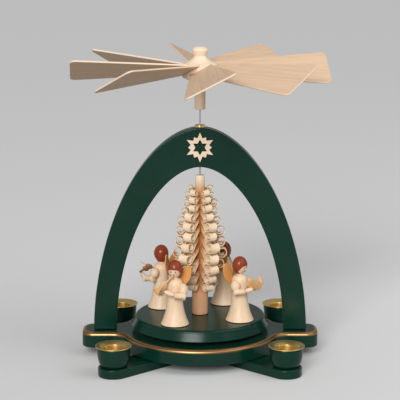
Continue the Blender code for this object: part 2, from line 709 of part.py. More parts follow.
def add_curl(bm, path, width, turn):
    """One shaving: a flat strip, narrow at its root, that follows the path in an upright plane."""
    rings = []
    for i, (out, height) in enumerate(path):
        ahead = path[min(i + 1, len(path) - 1)]
        behind = path[max(i - 1, 0)]
        along = Vector((ahead[0] - behind[0], 0, ahead[1] - behind[1])).normalized()
        skin = Vector((along.z, 0, -along.x)) * CURL_SHAVING / 2
        share = min(1.0, i / CURL_WIDENING_STEPS)
        half = Vector((0, width / 2 * (CURL_ROOT_NARROWING + (1 - CURL_ROOT_NARROWING) * share), 0))
        centre = Vector((out, 0, height))
        corners = (centre + skin + half, centre + skin - half, centre - skin - half, centre - skin + half)
        rings.append([bearing(turn) @ corner for corner in corners])
    loft(bm, rings)


def add_tree(wood, rotor):
    """One turned stick, bored for the shaft, with rows of shavings left standing on it."""
    trunk = [
        (SHAFT_BORE, TREE_TOP),
        (TRUNK_TOP_RADIUS, TREE_TOP),
        (TRUNK_FOOT_RADIUS, TREE_FOOT),
        (SHAFT_BORE, TREE_FOOT),
    ]
    tree = add_piece("tree", turned(trunk, STEPS_SMALL), wood, rotor)
    curls = bmesh.new()
    for row in range(CURL_ROWS):
        for height, radius, reach in curl_tiers():
            path = curl_path(height, radius, reach)
            add_curl(curls, path, CURL_WIDTH_RATIO * radius, 2 * math.pi * row / CURL_ROWS)
    combine(tree, curls, "UNION")


def skirt_radius(height):
    flare = max(0.0, 1 - height / WAIST_HEIGHT) ** SKIRT_FLARE
    return WAIST_RADIUS + (HEM_RADIUS - WAIST_RADIUS) * flare


def robe_profile():
    """A bell skirt, a waist, a round chest and sloping shoulders up to the neck."""
    shares = ((step / SKIRT_STEPS) ** SKIRT_STEP_EASE for step in range(SKIRT_STEPS + 1))
    heights = (HEM_LIP + (WAIST_HEIGHT - HEM_LIP) * share for share in shares)
    skirt = [(skirt_radius(height), height) for height in heights]
    shoulders = []
    for step in range(SHOULDER_STEPS):
        turn = math.pi / 2 * step / SHOULDER_STEPS
        across = NECK_SKIN_RADIUS + (CHEST_RADIUS - NECK_SKIN_RADIUS) * math.cos(turn)
        shoulders.append((across, CHEST_HEIGHT + SHOULDER_RISE * math.sin(turn)))
    neck_top = HEAD_SEAT - SEAT_GAP
    neck = [(NECK_SKIN_RADIUS, CHEST_HEIGHT + SHOULDER_RISE), (NECK_SKIN_RADIUS, neck_top), (0, neck_top)]
    foot = [(0, 0), (HEM_RADIUS - HEM_LIP, 0)]
    return (foot + skirt + shoulders + neck)[::-1]


def head_profile():
    """An egg cut flat where it sits on the neck."""
    cut = math.pi - math.asin(NECK_SKIN_RADIUS / HEAD_RADIUS)
    turns = (cut * step / HEAD_STEPS for step in range(HEAD_STEPS + 1))
    egg = [(HEAD_RADIUS * math.sin(a), HEAD_HEIGHT + HEAD_HALF_HEIGHT * math.cos(a)) for a in turns]
    return egg + [(0, HEAD_SEAT)]


def lips():
    """Just off the face, where a mouthpiece is held."""
    face = HEAD_RADIUS * math.sqrt(1 - (LIP_DROP / HEAD_HALF_HEIGHT) ** 2)
    return Vector((face + LIP_GAP, 0, HEAD_HEIGHT - LIP_DROP))


def held(forward, left, above_shoulder):
    """A place before a figure that faces +X with its left hand at +Y."""
    return Vector((forward, left, SHOULDER_HEIGHT + above_shoulder))


def wing_plane():
    """How far behind a figure's axis its wings start, clear of its chest and skirt."""
    return max(CHEST_RADIUS, skirt_radius(WING_HEIGHT - WING_LENGTH)) + SEAT_GAP


def wings():
    """A pair of flat leaf shapes that meet behind the back and sweep away from it."""
    bm = bmesh.new()
    axis = Vector((math.sin(WING_TILT), math.cos(WING_TILT)))
    across = Vector((axis.y, -axis.x))
    points = []
    for step in range(WING_STEPS):
        turn = 2 * math.pi * step / WING_STEPS
        flat = axis * WING_LENGTH * math.cos(turn) + across * WING_WIDTH * math.sin(turn)
        points.append(bm.verts.new((0, flat.x + WING_OUT, flat.y + WING_HEIGHT)))
    bm.faces.new(points)
    geometry = bm.verts[:] + bm.edges[:] + bm.faces[:]
    bmesh.ops.bisect_plane(bm, geom=geometry, plane_co=(0, 0, 0), plane_no=(0, 1, 0), clear_inner=True)
    half = bm.verts[:] + bm.edges[:] + bm.faces[:]
    bmesh.ops.mirror(bm, geom=half, axis="Y", merge_dist=SAME_POINT)
    for vert in bm.verts:
        vert.co.x = -wing_plane() - WING_SWEEP * abs(vert.co.y)
    sweep = bmesh.ops.extrude_face_region(bm, geom=bm.faces[:])
    back = [item for item in sweep["geom"] if isinstance(item, bmesh.types.BMVert)]
    bmesh.ops.translate(bm, verts=back, vec=(-WING_THICKNESS, 0, 0))
    return bm


def along(start, end):
    """Carries a turned shape so that its axis runs from one point to another."""
    return Matrix.Translation(start) @ (end - start).to_track_quat("Z", "Y").to_matrix().to_4x4()


def oval(radius, low, high, steps):
    """Profile of a ball stretched between two heights."""
    middle, half = (low + high) / 2, (high - low) / 2
    turns = (math.pi * step / steps for step in range(1, steps))
    return [(0, high)] + [(radius * math.sin(a), middle + half * math.cos(a)) for a in turns] + [(0, low)]


def puffed_sleeve(shoulder, elbow, grow=0.0):
    """A turned ball from the shoulder to just past the elbow."""
    end = (elbow - shoulder).length + PUFF_TURN_IN + grow
    profile = oval(PUFF_RADIUS + grow, -PUFF_CAP - grow, end, PUFF_STEPS)
    return moved(turned(profile, ARM_SIDES), along(shoulder, elbow))


def forearm(elbow, wrist):
    """A plain turned sleeve that ends in a cuff."""
    end = (wrist - elbow).length
    cuff = [(0, end), (CUFF_RADIUS, end), (CUFF_RADIUS, end - CUFF_LENGTH)]
    sleeve = [(FOREARM_RADIUS, end - CUFF_LENGTH), (FOREARM_RADIUS, -FOREARM_INSET), (0, -FOREARM_INSET)]
    return moved(turned(cuff + sleeve, ARM_SIDES), along(elbow, wrist))


def fist(wrist, hand):
    profile = oval(HAND_RADIUS, -HAND_INSET, (hand - wrist).length + HAND_TIP, HAND_STEPS)
    return moved(turned(profile, ARM_SIDES), along(wrist, hand))


def tapered(start, end, shape, sides, grow):
    """A straight round piece whose radius is given at shares of its length."""
    places = [start.lerp(end, share) for share, _ in shape]
    return tube(places, [radius + grow for _, radius in shape], sides)


def horn(grow=0.0):
    """A straight natural horn from the lips down to its bell."""
    return tapered(lips(), held(*HORN_MOUTH), HORN_SHAPE, HORN_SIDES, grow)


def flute(grow=0.0):
    """A recorder with a beak at the lips and a turned foot."""
    return tapered(lips(), held(*FLUTE_FOOT), FLUTE_SHAPE, HORN_SIDES, grow)


def songbook(grow=0.0):
    """Two boards opened to a V, with the spine away from the singer, that lean back to be read."""
    slope = math.hypot(BOOK_LEAF_DEPTH, BOOK_HALF_WIDTH)
    thick = (BOOK_BOARD / 2 + grow) * slope / BOOK_HALF_WIDTH
    back = BOOK_REACH - BOOK_LEAF_DEPTH
    half = BOOK_HALF_WIDTH + grow
    near = [(back - thick, -half), (BOOK_REACH - thick, 0), (back - thick, half)]
    far = [(x + 2 * thick, y) for x, y in reversed(near)]
    book = prism(near + far, -grow, BOOK_HEIGHT + grow)
    foot = Matrix.Translation((BOOK_REACH, 0, BOOK_FOOT))
    lean = foot @ Matrix.Rotation(BOOK_LEAN, 4, "Y") @ Matrix.Translation((-BOOK_REACH, 0, 0))
    return moved(book, lean)


def violin(grow=0.0):
    """A waisted body and a straight neck, cut from one board and tipped down from the shoulder."""
    side = [(VIOLIN_BODY * share, VIOLIN_HALF_WIDTH * width + grow) for share, width in VIOLIN_SHAPE]
    side[0] = (-grow, side[0][1])
    neck = VIOLIN_NECK_HALF_WIDTH + grow
    side += [(VIOLIN_BODY, neck), (VIOLIN_BODY + VIOLIN_NECK + grow, neck)]
    outline = [(x, -y) for x, y in side] + list(reversed(side))
    board = prism(outline, -VIOLIN_DEPTH / 2 - grow, VIOLIN_DEPTH / 2 + grow)
    return moved(board, violin_place())


def violin_place():
    """X runs along the violin from chin to scroll and Z out of its top. Its left side is the higher."""
    along = Vector((math.cos(VIOLIN_DIP), 0, -math.sin(VIOLIN_DIP)))
    across = Vector((0, 1, 0))
    up = along.cross(across)
    turn = Matrix((along, across, up)).transposed().to_4x4()
    chin = held(CHEST_RADIUS + VIOLIN_STANDOFF, VIOLIN_LEFT, VIOLIN_RISE)
    return Matrix.Translation(chin) @ turn @ Matrix.Rotation(VIOLIN_ROLL, 4, "X")


def bow(grow=0.0):
    """A thin stick that lies across the strings, with its heel at the right hand."""
    height = VIOLIN_DEPTH / 2 + BOW_SHAPE[0][1] + SEAT_GAP
    heel = Vector((BOW_PLACE, -BOW_HEEL_REACH, height))
    tip = Vector((BOW_PLACE, BOW_TIP_REACH, height))
    stick = tapered(heel, tip, BOW_SHAPE, BOW_SIDES, grow)
    return moved(stick, violin_place())


# Elbow, wrist and hand of each arm: forward, to the left, and above the shoulder
ARM_POSES = {
    "horn": {
        "right": ((0.0042, -0.0122, -0.0085), (0.0095, -0.0092, -0.005), (0.0125, -0.0056, -0.0024)),
        "left": ((0.004, 0.0116, -0.0092), (0.0096, 0.0052, -0.008), (0.0134, -0.0014, -0.0048)),
    },
    "songbook": {
        "right": ((0.003, -0.0118, -0.0085), (0.011, -0.0088, -0.0072), (0.0158, -0.0058, -0.0052)),
        "left": ((0.003, 0.0118, -0.0085), (0.011, 0.0088, -0.0072), (0.0158, 0.0058, -0.0052)),
    },
    "flute": {
        "right": ((0.0042, -0.012, -0.009), (0.0112, -0.0072, -0.0062), (0.0152, -0.0026, -0.003)),
        "left": ((0.0042, 0.012, -0.0085), (0.0095, 0.0076, -0.0032), (0.0124, 0.0026, 0.0012)),
    },
    "violin": {
        "right": ((0.003, -0.0125, -0.0092), (0.0062, -0.011, -0.0076), (0.0088, -0.0088, -0.0056)),
        "left": ((0.0024, 0.0112, -0.0084), (0.0124, 0.0082, -0.0098), (0.0182, 0.0048, -0.0072)),
    },
}
INSTRUMENTS = {"horn": horn, "songbook": songbook, "flute": flute, "violin": violin}


def add_angel(kind, wood, rotor):
    """A turned figure at its place on the turntable, facing out, with what it plays held in its hands."""
    seat = Matrix.Translation((ANGEL_RING, 0, TABLE_TOP + SEAT_GAP))
    spot = bearing(math.radians(ANGEL_BEARINGS[kind])) @ seat
    name = f"{kind}_angel"
    robe = add_piece(f"{name}_robe", moved(turned(robe_profile(), STEPS_SMALL), spot), wood, rotor)
    add_piece(f"{name}_head", moved(turned(head_profile(), STEPS_SMALL), spot), wood, rotor)
    add_piece(f"{name}_wings", moved(wings(), spot), wood, rotor)
    played = INSTRUMENTS[kind]
    add_piece(f"{name}_{kind}", moved(played(), spot), wood, rotor)
    if kind == "violin":
        add_piece(f"{name}_bow", moved(bow(), spot), wood, rotor)
    for side, joints in ARM_POSES[kind].items():
        out = SHOULDER_OUT if side == "left" else -SHOULDER_OUT
        shoulder = held(0, out, 0)
        elbow, wrist, hand = (held(*joint) for joint in joints)
        limb = add_piece(f"{name}_arm_{side}", moved(puffed_sleeve(shoulder, elbow), spot), wood, rotor)
        combine(robe, moved(puffed_sleeve(shoulder, elbow, SEAT_GAP), spot), "DIFFERENCE")
        combine(limb, moved(forearm(elbow, wrist), spot), "UNION")
        combine(limb, moved(fist(wrist, hand), spot), "UNION")
        combine(limb, moved(played(SEAT_GAP), spot), "DIFFERENCE")
        if kind == "violin" and side == "right":
            combine(limb, moved(bow(SEAT_GAP), spot), "DIFFERENCE")


def main():
    clear_scene()
    paint = finish_material("green_lacquer", (0.006, 0.05, 0.03), 0.32)
    wood = finish_material("pale_wood", (0.78, 0.58, 0.37), 0.55)
    brass = finish_material("brass", (0.75, 0.52, 0.18), 0.22, 1.0)
    steel = finish_material("steel", (0.55, 0.55, 0.56), 0.3, 1.0)
    glass = finish_material("glass", (0.8, 0.85, 0.85), 0.1)
    stand = pivot("stand")
    rotor = pivot("rotor_axis")
    add_cross_bars(paint, steel, stand)
    add_base(paint, stand)
    add_candle_cups(paint, brass, stand)
    add_arch(paint, wood, stand)
    add_star(wood, stand)
    add_bearings(brass, glass, stand)
    add_shaft(steel, rotor)
    add_turntable(paint, rotor)
    add_wheel(wood, rotor)
    add_tree(wood, rotor)
    for kind in ANGEL_BEARINGS:
        add_angel(kind, wood, rotor)


if __name__ == "__main__":
    main()
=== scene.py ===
"""Looks of a turning christmas pyramid: green lacquer, pale wood, shaved curls, brass dishes and small angels.

Metres, +Z up, with the shaft on the Z axis and the front towards -Y. Every piece is modelled in its place over
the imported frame. A figure is modelled facing +X with its left hand at +Y, then carried to its spot.
"""

import math
import random

import bpy
from bpy.props import FloatProperty, FloatVectorProperty, IntProperty, PointerProperty
from mathutils import Matrix, Vector


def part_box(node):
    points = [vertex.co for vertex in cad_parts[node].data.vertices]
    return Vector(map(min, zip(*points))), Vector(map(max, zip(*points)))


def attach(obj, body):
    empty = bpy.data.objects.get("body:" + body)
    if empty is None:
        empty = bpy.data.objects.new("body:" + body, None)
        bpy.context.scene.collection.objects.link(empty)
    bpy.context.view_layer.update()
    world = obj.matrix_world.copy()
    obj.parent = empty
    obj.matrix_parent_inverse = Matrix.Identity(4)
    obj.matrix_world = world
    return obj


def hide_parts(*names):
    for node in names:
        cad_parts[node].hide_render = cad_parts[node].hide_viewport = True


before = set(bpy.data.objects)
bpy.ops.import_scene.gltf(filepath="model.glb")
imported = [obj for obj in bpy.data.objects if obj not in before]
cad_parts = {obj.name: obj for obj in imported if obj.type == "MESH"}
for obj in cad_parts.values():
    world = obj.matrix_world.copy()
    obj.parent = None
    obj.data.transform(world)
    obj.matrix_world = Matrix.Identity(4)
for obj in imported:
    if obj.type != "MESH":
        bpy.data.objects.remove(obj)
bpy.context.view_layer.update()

bl_info = {
    "name": "Christmas Pyramid",
    "version": (1, 0, 0),
    "blender": (4, 5, 0),
    "location": "View3D > Sidebar > Pyramid",
    "description": "Models and finishes the visible pieces of a turning christmas pyramid",
    "category": "Object",
}

STAND = "stand"
ROTOR = "rotor"
# Play between two pieces that sit in each other
SEAT = 0.0003
SAME_POINT = 1e-6
# Width of a face that is too thin to keep
SLIVER = 5e-6
SCRATCH_PLANE = 0.001
SHARP_EDGE = math.radians(30)
SMOOTH_ANGLE = math.radians(38)
FLAT_WEIGHT = 100
QUARTER_TURN = math.pi / 2
FULL_TURN = 2 * math.pi
LATHE_STEPS = 64
FINE_LATHE_STEPS = 96
SMALL_LATHE_STEPS = 32
END_STEPS = 28
CORNER_STEPS = 8
TURNED_EASE = 0.0005
# How far the base stands out under the turntable
BASE_MARGIN = 0.0093
# Stands a sawn board up, so that its outline faces +X
FACING_OUT = Matrix(((0, 0, 1, 0), (1, 0, 0, 0), (0, 1, 0, 0), (0, 0, 0, 1)))
# Where in the uncut wood a piece lies, so that no two show the same figure
GRAIN_SHIFTS = {
    "star": 0.3,
    "hub": 0.11,
    "sleeve": 0.2,
    "slat": 0.37,
    "stick": 0.5,
    "figure": 0.23,
    "head": 0.1,
    "wing": 0.4,
    "horn": 0.8,
    "violin": 0.9,
    "flute": 1.1,
    "book": 1.4,
    "bow": 1.7,
}


def foot_of(node):
    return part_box(node)[0].z


def top_of(node):
    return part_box(node)[1].z


def reach_of(node):
    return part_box(node)[1].x


BAR_TOP = top_of("cross_bar_a")
BASE_FOOT = foot_of("base_plate")
BASE_TOP = top_of("base_plate")
TABLE_FOOT = foot_of("turntable")
TABLE_TOP = top_of("turntable")
TREE_FOOT = foot_of("tree")
TREE_TOP = top_of("tree")
ARCH_FOOT = foot_of("arch")
ARCH_TOP = top_of("arch")
BUSH_FOOT = foot_of("arch_bush")
BUSH_TOP = top_of("arch_bush")
SLEEVE_FOOT = foot_of("shaft_sleeve")
SLEEVE_TOP = top_of("shaft_sleeve")
HUB_FOOT = foot_of("vane_hub")
HUB_TOP = top_of("vane_hub")
SHAFT_FOOT = foot_of("shaft")
SHAFT_TOP = top_of("shaft")
SHAFT_RADIUS = reach_of("shaft")
ROBE_FOOT = foot_of("horn_angel_robe")


def length(name, description, default):
    return FloatProperty(name=name, description=description, default=default, min=0.0, unit="LENGTH", precision=5)


def angle(name, description, degrees):
    return FloatProperty(
        name=name, description=description, default=math.radians(degrees), subtype="ANGLE", unit="ROTATION"
    )


def factor(name, description, default):
    return FloatProperty(name=name, description=description, default=default, min=0.0)


def count(name, description, default):
    return IntProperty(name=name, description=description, default=default, min=1)


def tint(name, description, default):
    return FloatVectorProperty(
        name=name, description=description, default=default, size=3, min=0.0, max=1.0, subtype="COLOR"
    )


class StandSizes(bpy.types.PropertyGroup):
    """Sizes of the cross bars, base, arch, star, bush and candle cups."""

    bar_width: length("Bar width", "Width of a cross bar and of its round ends", 0.0276)
    bar_bearing: angle("Bar bearing", "Direction of a cross bar from the arch's line", 42.7)
    bar_ease: length("Bar ease", "Rounding of the bars' edges", 0.0011)
    cup_reach: length("Cup reach", "Distance of a candle cup from the shaft", 0.1023)
    base_radius: length("Base radius", "Radius of the base's disc", reach_of("turntable") + BASE_MARGIN)
    base_round: length("Base round", "Rounding of the base's top edge, which carries the gold line", 0.003)
    ear_depth: length("Ear depth", "Depth of the ears that carry the arch", 0.0332)
    ear_reach: length("Ear reach", "Distance of an ear's end from the shaft", reach_of("base_plate"))
    ear_corner: length("Ear corner", "Rounding of an ear's corners", 0.0104)
    ear_blend: length("Ear blend", "Hollow rounding between an ear and the disc", 0.014)
    arch_leg: length("Arch leg", "Width of a leg of the arch at its foot", 0.0204)
    arch_crown: length("Arch crown", "Height of wood over the middle of the arch", 0.0353)
    arch_depth: length("Arch depth", "Thickness of the arch's board", 0.014)
    arch_power: factor("Arch power", "Fullness of the arch's curve, 2 for an ellipse", 1.85)
    arch_ease: length("Arch ease", "Rounding of the arch's edges", 0.0012)
    star_radius: length("Star radius", "Reach of the star's long points", 0.0135)
    star_short: length("Star short radius", "Reach of the star's short points", 0.0105)
    star_valley: length("Star valley", "Radius between the star's points", 0.0084)
    star_hole: length("Star hole", "Reach of the points of the star's opening", 0.0071)
    star_hole_valley: length("Star hole valley", "Radius between the points of the star's opening", 0.0041)
    star_thickness: length("Star thickness", "Thickness of the star", 0.002)
    star_drop: length("Star drop", "Depth of the star's middle under the top of the arch", 0.0171)
    bush_flange: length("Bush flange", "Radius of the brass bush's flange", 0.0047)
    bush_flange_height: length("Bush flange height", "Height of the brass bush's flange", 0.0026)
    cup_height: length("Cup height", "Height of a candle cup", 0.017)
    cup_foot: length("Cup foot", "Radius of a candle cup's foot", 0.0101)
    cup_rim: length("Cup rim", "Radius of a candle cup's rim", 0.0147)
    dish_brim: length("Dish brim", "Overhang of a dish's brim over the cup's rim", 0.0012)
    dish_lip: length("Dish lip", "Rise of a dish's brim to its edge", 0.0005)
    socket: length("Socket", "Radius of the hole for the candle", 0.0089)
    brass: length("Brass", "Thickness of the dishes' sheet", 0.0008)


class RotorSizes(bpy.types.PropertyGroup):
    """Sizes of the wheel, hub, sleeve and turntable."""

    table_radius: length("Table radius", "Radius of the turntable's top", 0.059)
    table_foot: length("Table foot", "Radius of the turntable's lower edge", reach_of("turntable"))
    table_round: length("Table round", "Rounding of the turntable's top edge", 0.0028)
    slat_count: count("Slats", "Number of slats in the wheel", 8)
    slat_root: length("Slat root", "Distance of a slat's inner end from the shaft", 0.011)
    slat_tip: length("Slat tip", "Distance of a slat's outer end from the shaft", 0.1146)
    slat_root_width: length("Slat root width", "Width of a slat at its inner end", 0.0208)
    slat_tip_width: length("Slat tip width", "Width of a slat at its outer end", 0.0494)
    slat_thickness: length("Slat thickness", "Thickness of a slat", 0.0016)
    slat_corner: length("Slat corner", "Rounding of a slat's outer corners", 0.005)
    slat_pitch: angle("Slat pitch", "Slant of the slats", 26.8)
    slat_phase: angle("Slat phase", "Direction of the first slat", 4.47)
    slat_plane: length("Slat plane", "Height of the slats' middle lines", 0.2598)
    hub_radius: length("Hub radius", "Radius of the hub at its rim", 0.0162)
    hub_foot: length("Hub foot", "Radius of the hub's underside", 0.0095)
    hub_rim: length("Hub rim", "Height of the hub's rim", 0.2644)
    hub_wall: length("Hub wall", "Height of the hub's straight side", 0.0118)
    hub_cone: length("Hub cone", "Height of the sloping shoulder over the rim", 0.0066)
    neck: length("Neck", "Radius of the neck under the knob", 0.0054)
    knob: length("Knob", "Radius of the knob", 0.0072)
    knob_widest: length("Knob widest", "Height of the knob's widest place over its neck", 0.0056)
    sleeve: length("Sleeve", "Radius of the dowel under the hub", reach_of("shaft_sleeve"))


class TreeSizes(bpy.types.PropertyGroup):
    """Sizes of the shaved tree."""

    rows: count("Rows", "Rows of curls round the stick", 6)
    tiers: count("Tiers", "Curls in each row", 11)
    widest_tier: count("Widest tier", "Which tier under the topmost reaches out most", 7)
    top_margin: length("Top margin", "Depth of the topmost curls under the stick's top", 0.0118)
    top_radius: length("Top radius", "Radius of the topmost curls", 0.003)
    widest_radius: length("Widest radius", "Radius of the curls that reach out most", 0.0052)
    foot_radius: length("Foot radius", "Radius of the lowest curls", 0.0038)
    top_reach: length("Top reach", "Distance of the topmost curls' middles from the axis", 0.0085)
    widest_reach: length("Widest reach", "Distance of the widest tier's middles from the axis", 0.0216)
    foot_reach: length("Foot reach", "Distance of the lowest curls' middles from the axis", 0.0125)
    tier_gap: length("Tier gap", "Room between one curl and the next below it", 0.0002)
    trunk_foot: length("Trunk foot", "Radius of the stick at its foot", 0.0077)
    core: factor("Core", "What the shaving leaves of the stick's radius", 0.4)
    flute: factor("Fluting", "How far the shaving hollows the stick, as a share of its radius", 0.05)
    shaving: length("Shaving", "Thickness of a shaving", 0.0005)
    width_ratio: factor("Width", "Width of a shaving over the radius of its curl", 1.85)
    front_valley: angle("Front valley", "How far the two front rows stand off from an even spacing", 6)
    stagger: length("Stagger", "How much lower every row but the two at the sides starts", 0.003)
    curl_turn: angle("Curl turn", "How far a shaving rolls up", 455)
    curl_start: angle("Curl start", "Where on its curl a shaving leaves the stick", -135)
    curl_end: factor("Curl end", "Radius at a curl's inner end, over its full radius", 0.42)
    inner_reach: factor("Inner reach", "Reach of the short shavings between the tiers, over that of the curls", 0.56)
    inner_turn: angle("Inner turn", "How far the short shavings roll up", 130)
    inner_radius: factor("Inner radius", "Radius of the short shavings' ends, over that of the curls", 0.5)
    liveliness: factor("Liveliness", "How much one curl differs from the next", 1.0)


class AngelSizes(bpy.types.PropertyGroup):
    """Sizes of the four figures and of what they play."""

    ring: length("Ring", "Distance of a figure from the shaft", 0.0419)
    hem: length("Hem", "Radius of the robe's hem", 0.0128)
    waist: length("Waist", "Radius of the robe's waist", 0.0068)
    waist_height: length("Waist height", "Height of the waist", 0.03)
    chest: length("Chest", "Radius of the chest", 0.0073)
    chest_height: length("Chest height", "Height of the chest", 0.0355)
    shoulder_rise: length("Shoulder rise", "Height from the chest to the neck", 0.006)
    shoulder_height: length("Shoulder height", "Height of the shoulder joints", 0.0367)
    shoulder_out: length("Shoulder out", "Distance of a shoulder joint from the middle", 0.0084)
    neck: length("Neck", "Radius of the neck", 0.003)
    head: length("Head", "Radius of the head", 0.0064)
    head_half: length("Head half height", "Half the height of the egg that the head is turned to", 0.0079)
    head_height: length("Head height", "Height of the head's middle", 0.04998)
    hair: length("Hair", "Thickness of the painted hair", 0.0004)
    puff: length("Puff", "Radius of a puffed sleeve", 0.0042)
    forearm: length("Forearm", "Radius of a forearm", 0.0026)
    hand: length("Hand", "Radius of a hand", 0.0023)
    wing_length: length("Wing length", "Half the length of a wing", 0.0106)
    wing_width: length("Wing width", "Half the width of a wing", 0.005)
    wing_height: length("Wing height", "Height of the wings' middle", 0.0418)
    wing_out: length("Wing out", "Distance of a wing's middle from the back's middle", 0.0048)
    wing_tilt: angle("Wing tilt", "Outward lean of a wing", 20)
    wing_back: length("Wing back", "Distance of the wings from the figure's axis", 0.0076)
    wing_sweep: factor("Wing sweep", "How far the wings sweep back as they go out", 0.3)
    wing_thickness: length("Wing thickness", "Thickness of a wing", 0.0012)


class Finishes(bpy.types.PropertyGroup):
    """Colours of the finishes."""

    lacquer: tint("Lacquer", "Green lacquer of the stand and turntable", (0.0015, 0.029, 0.017))
    gold: tint("Gold", "Gold lines on the base's edge", (0.56, 0.34, 0.15))
    # Colour of the darker bands on the gold edge
    gold_shade: tint("Gold shade", "Copper ground between the gold lines", (0.22, 0.1, 0.035))
    wood: tint("Wood", "Pale wood of the robes, arms, sleeve, flute and bow", (0.88, 0.665, 0.465))
    wood_figure: tint("Wood figure", "Darker lines in the pale wood", (0.76, 0.54, 0.34))
    slat: tint("Slat", "Split wood of the wheel's slats", (0.78, 0.565, 0.395))
    slat_figure: tint("Slat figure", "Darker lines in the slats", (0.64, 0.435, 0.275))
    # On the star and the hub this is the wood's own colour; on the slats' edges it is a painted highlight
    bleached: tint("Bleached wood", "Whiter wood of the star, the hub and the slats' edges", (0.89, 0.735, 0.57))
    shaving: tint("Shaving", "Fresh face of the curls", (0.96, 0.78, 0.57))
    shaving_figure: tint("Shaving figure", "Darker lines in the curls and the stick", (0.87, 0.65, 0.42))
    # Painted shade: the orange that the shavings and the stick turn to where they lie deep between the curls
    valley: tint("Valley", "Deeper tone of the shavings towards the stick", (0.57, 0.22, 0.055))
    honey: tint("Honey wood", "Warmer wood of the horn and the book's boards", (0.79, 0.46, 0.205))
    honey_figure: tint("Honey wood figure", "Darker lines in the warmer wood", (0.63, 0.32, 0.115))
    wing: tint("Wing", "Amber wood of the wings", (0.78, 0.37, 0.11))
    wing_figure: tint("Wing figure", "Darker lines in the wings", (0.62, 0.26, 0.07))
    brass: tint("Brass", "Brass of the dishes and bush", (0.86, 0.65, 0.26))
    brass_shade: tint("Brass shade", "Tarnish on the brass", (0.67, 0.44, 0.14))
    steel: tint("Steel", "Steel of the shaft and screw", (0.56, 0.56, 0.57))
    hair: tint("Hair", "Red-brown paint of the hair", (0.265, 0.046, 0.016))
    face: tint("Face", "Tinted wood of the faces", (0.85, 0.60, 0.42))
    blush: tint("Blush", "Rosier lines in the wood of the faces", (0.78, 0.46, 0.29))
    eye: tint("Eye", "Paint of the eyes, and of the violin's fingerboard and tailpiece", (0.02, 0.012, 0.009))
    mouth: tint("Mouth", "Paint of the mouth", (0.42, 0.06, 0.04))
    stain: tint("Stain", "Stained wood of the violin", (0.46, 0.2, 0.08))
    stain_figure: tint("Stain figure", "Darker lines in the stained wood", (0.29, 0.11, 0.04))
    page: tint("Page", "Pages of the songbook", (0.82, 0.72, 0.56))
    glass: tint("Glass", "Glass of the bearing cup", (0.85, 0.90, 0.90))


class StageLook(bpy.types.PropertyGroup):
    """Floor, light and camera."""

    floor_size: length("Floor size", "Side of the floor", 16.0)
    floor: tint("Floor", "Colour of the floor as seen", (0.78, 0.78, 0.785))
    floor_bounce: tint("Floor bounce", "Colour of the light that the floor throws back", (0.4, 0.4, 0.4))
    key: factor("Key", "Strength of the main light", 2.37)
    key_height: angle("Key height", "How high over the floor the main light stands", 27)
    key_side: angle("Key side", "How far to the left of the camera the main light stands", 14)
    fill: factor("Fill", "Power of the soft light at the right", 4.5)
    world: factor("World", "Strength of the even light all round", 0.3)
    lens: factor("Lens", "Focal length of the camera in millimetres", 147.76)
    camera_back: length("Camera distance", "Distance of the camera in front of the shaft", 1.4412)
    camera_height: length("Camera height", "Height of the camera", 0.4443)
    camera_dip: angle("Camera dip", "How far the camera looks down", 11.855)


def start_clean():
    """Leaves edit mode and deselects everything, the CAD nodes among it."""
    if bpy.context.mode != "OBJECT":
        bpy.ops.object.mode_set(mode="OBJECT")
    bpy.ops.object.select_all(action="DESELECT")


def pick(*pieces):
    """Selects only these pieces, with the first one active."""
    start_clean()
    for piece in pieces:
        piece.select_set(True)
    bpy.context.view_layer.objects.active = pieces[0]


def named(piece, name):
    piece.name = name
    piece.data.name = name
    return piece


def draw_line(points):
    """In edit mode, draws a line of vertices through the points and leaves its last one selected."""
    bpy.ops.mesh.primitive_plane_add(size=SCRATCH_PLANE)
    bpy.ops.mesh.merge(type="CENTER")
    bpy.ops.transform.translate(value=points[0])
    for here, there in zip(points, points[1:]):
        step = Vector(there) - Vector(here)
        bpy.ops.mesh.extrude_vertices_move(TRANSFORM_OT_translate={"value": step})


def start_line(name, points):
    """A new piece that is still only a line. It is left in edit mode with everything selected."""
    start_clean()
    bpy.ops.mesh.primitive_plane_add(size=SCRATCH_PLANE)
    piece = named(bpy.context.object, name)
    bpy.ops.object.mode_set(mode="EDIT")
    bpy.ops.mesh.delete(type="VERT")
    draw_line(points)
    bpy.ops.mesh.select_all(action="SELECT")
    return piece


def close_skin(reach=SAME_POINT):
    """In edit mode, merges the seams of a closed shape and turns its faces outwards."""
    bpy.ops.mesh.select_all(action="SELECT")
    bpy.ops.mesh.remove_doubles(threshold=reach)
    bpy.ops.mesh.normals_make_consistent(inside=False)
    bpy.ops.object.mode_set(mode="OBJECT")


def turned(name, profile, steps=LATHE_STEPS):
    """Spins a profile of (radius, height) points about Z, as on a lathe."""
    piece = start_line(name, [(radius, 0, height) for radius, height in profile])
    bpy.ops.mesh.spin(steps=steps, angle=FULL_TURN, center=(0, 0, 0), axis=(0, 0, 1))
    close_skin()
    return piece


def sawn(name, outline, thickness):
    """Saws a board to an outline of (x, y) points, with its middle at z = 0."""
    piece = start_line(name, [(x, y, -thickness / 2) for x, y in outline])
    bpy.ops.mesh.edge_face_add()
    bpy.ops.mesh.extrude_region_move(TRANSFORM_OT_translate={"value": (0, 0, thickness)})
    close_skin()
    return piece


def use_modifier(piece, modifier):
    pick(piece)
    bpy.ops.object.modifier_apply(modifier=modifier.name)
    return piece


def eased(piece, width, segments=3, edge_angle=SHARP_EDGE):
    """Rounds a piece's sharp edges and keeps its flat faces looking flat."""
    bevel = piece.modifiers.new("ease", "BEVEL")
    bevel.width = width
    bevel.segments = segments
    bevel.limit_method = "ANGLE"
    bevel.angle_limit = edge_angle
    return use_modifier(piece, bevel)


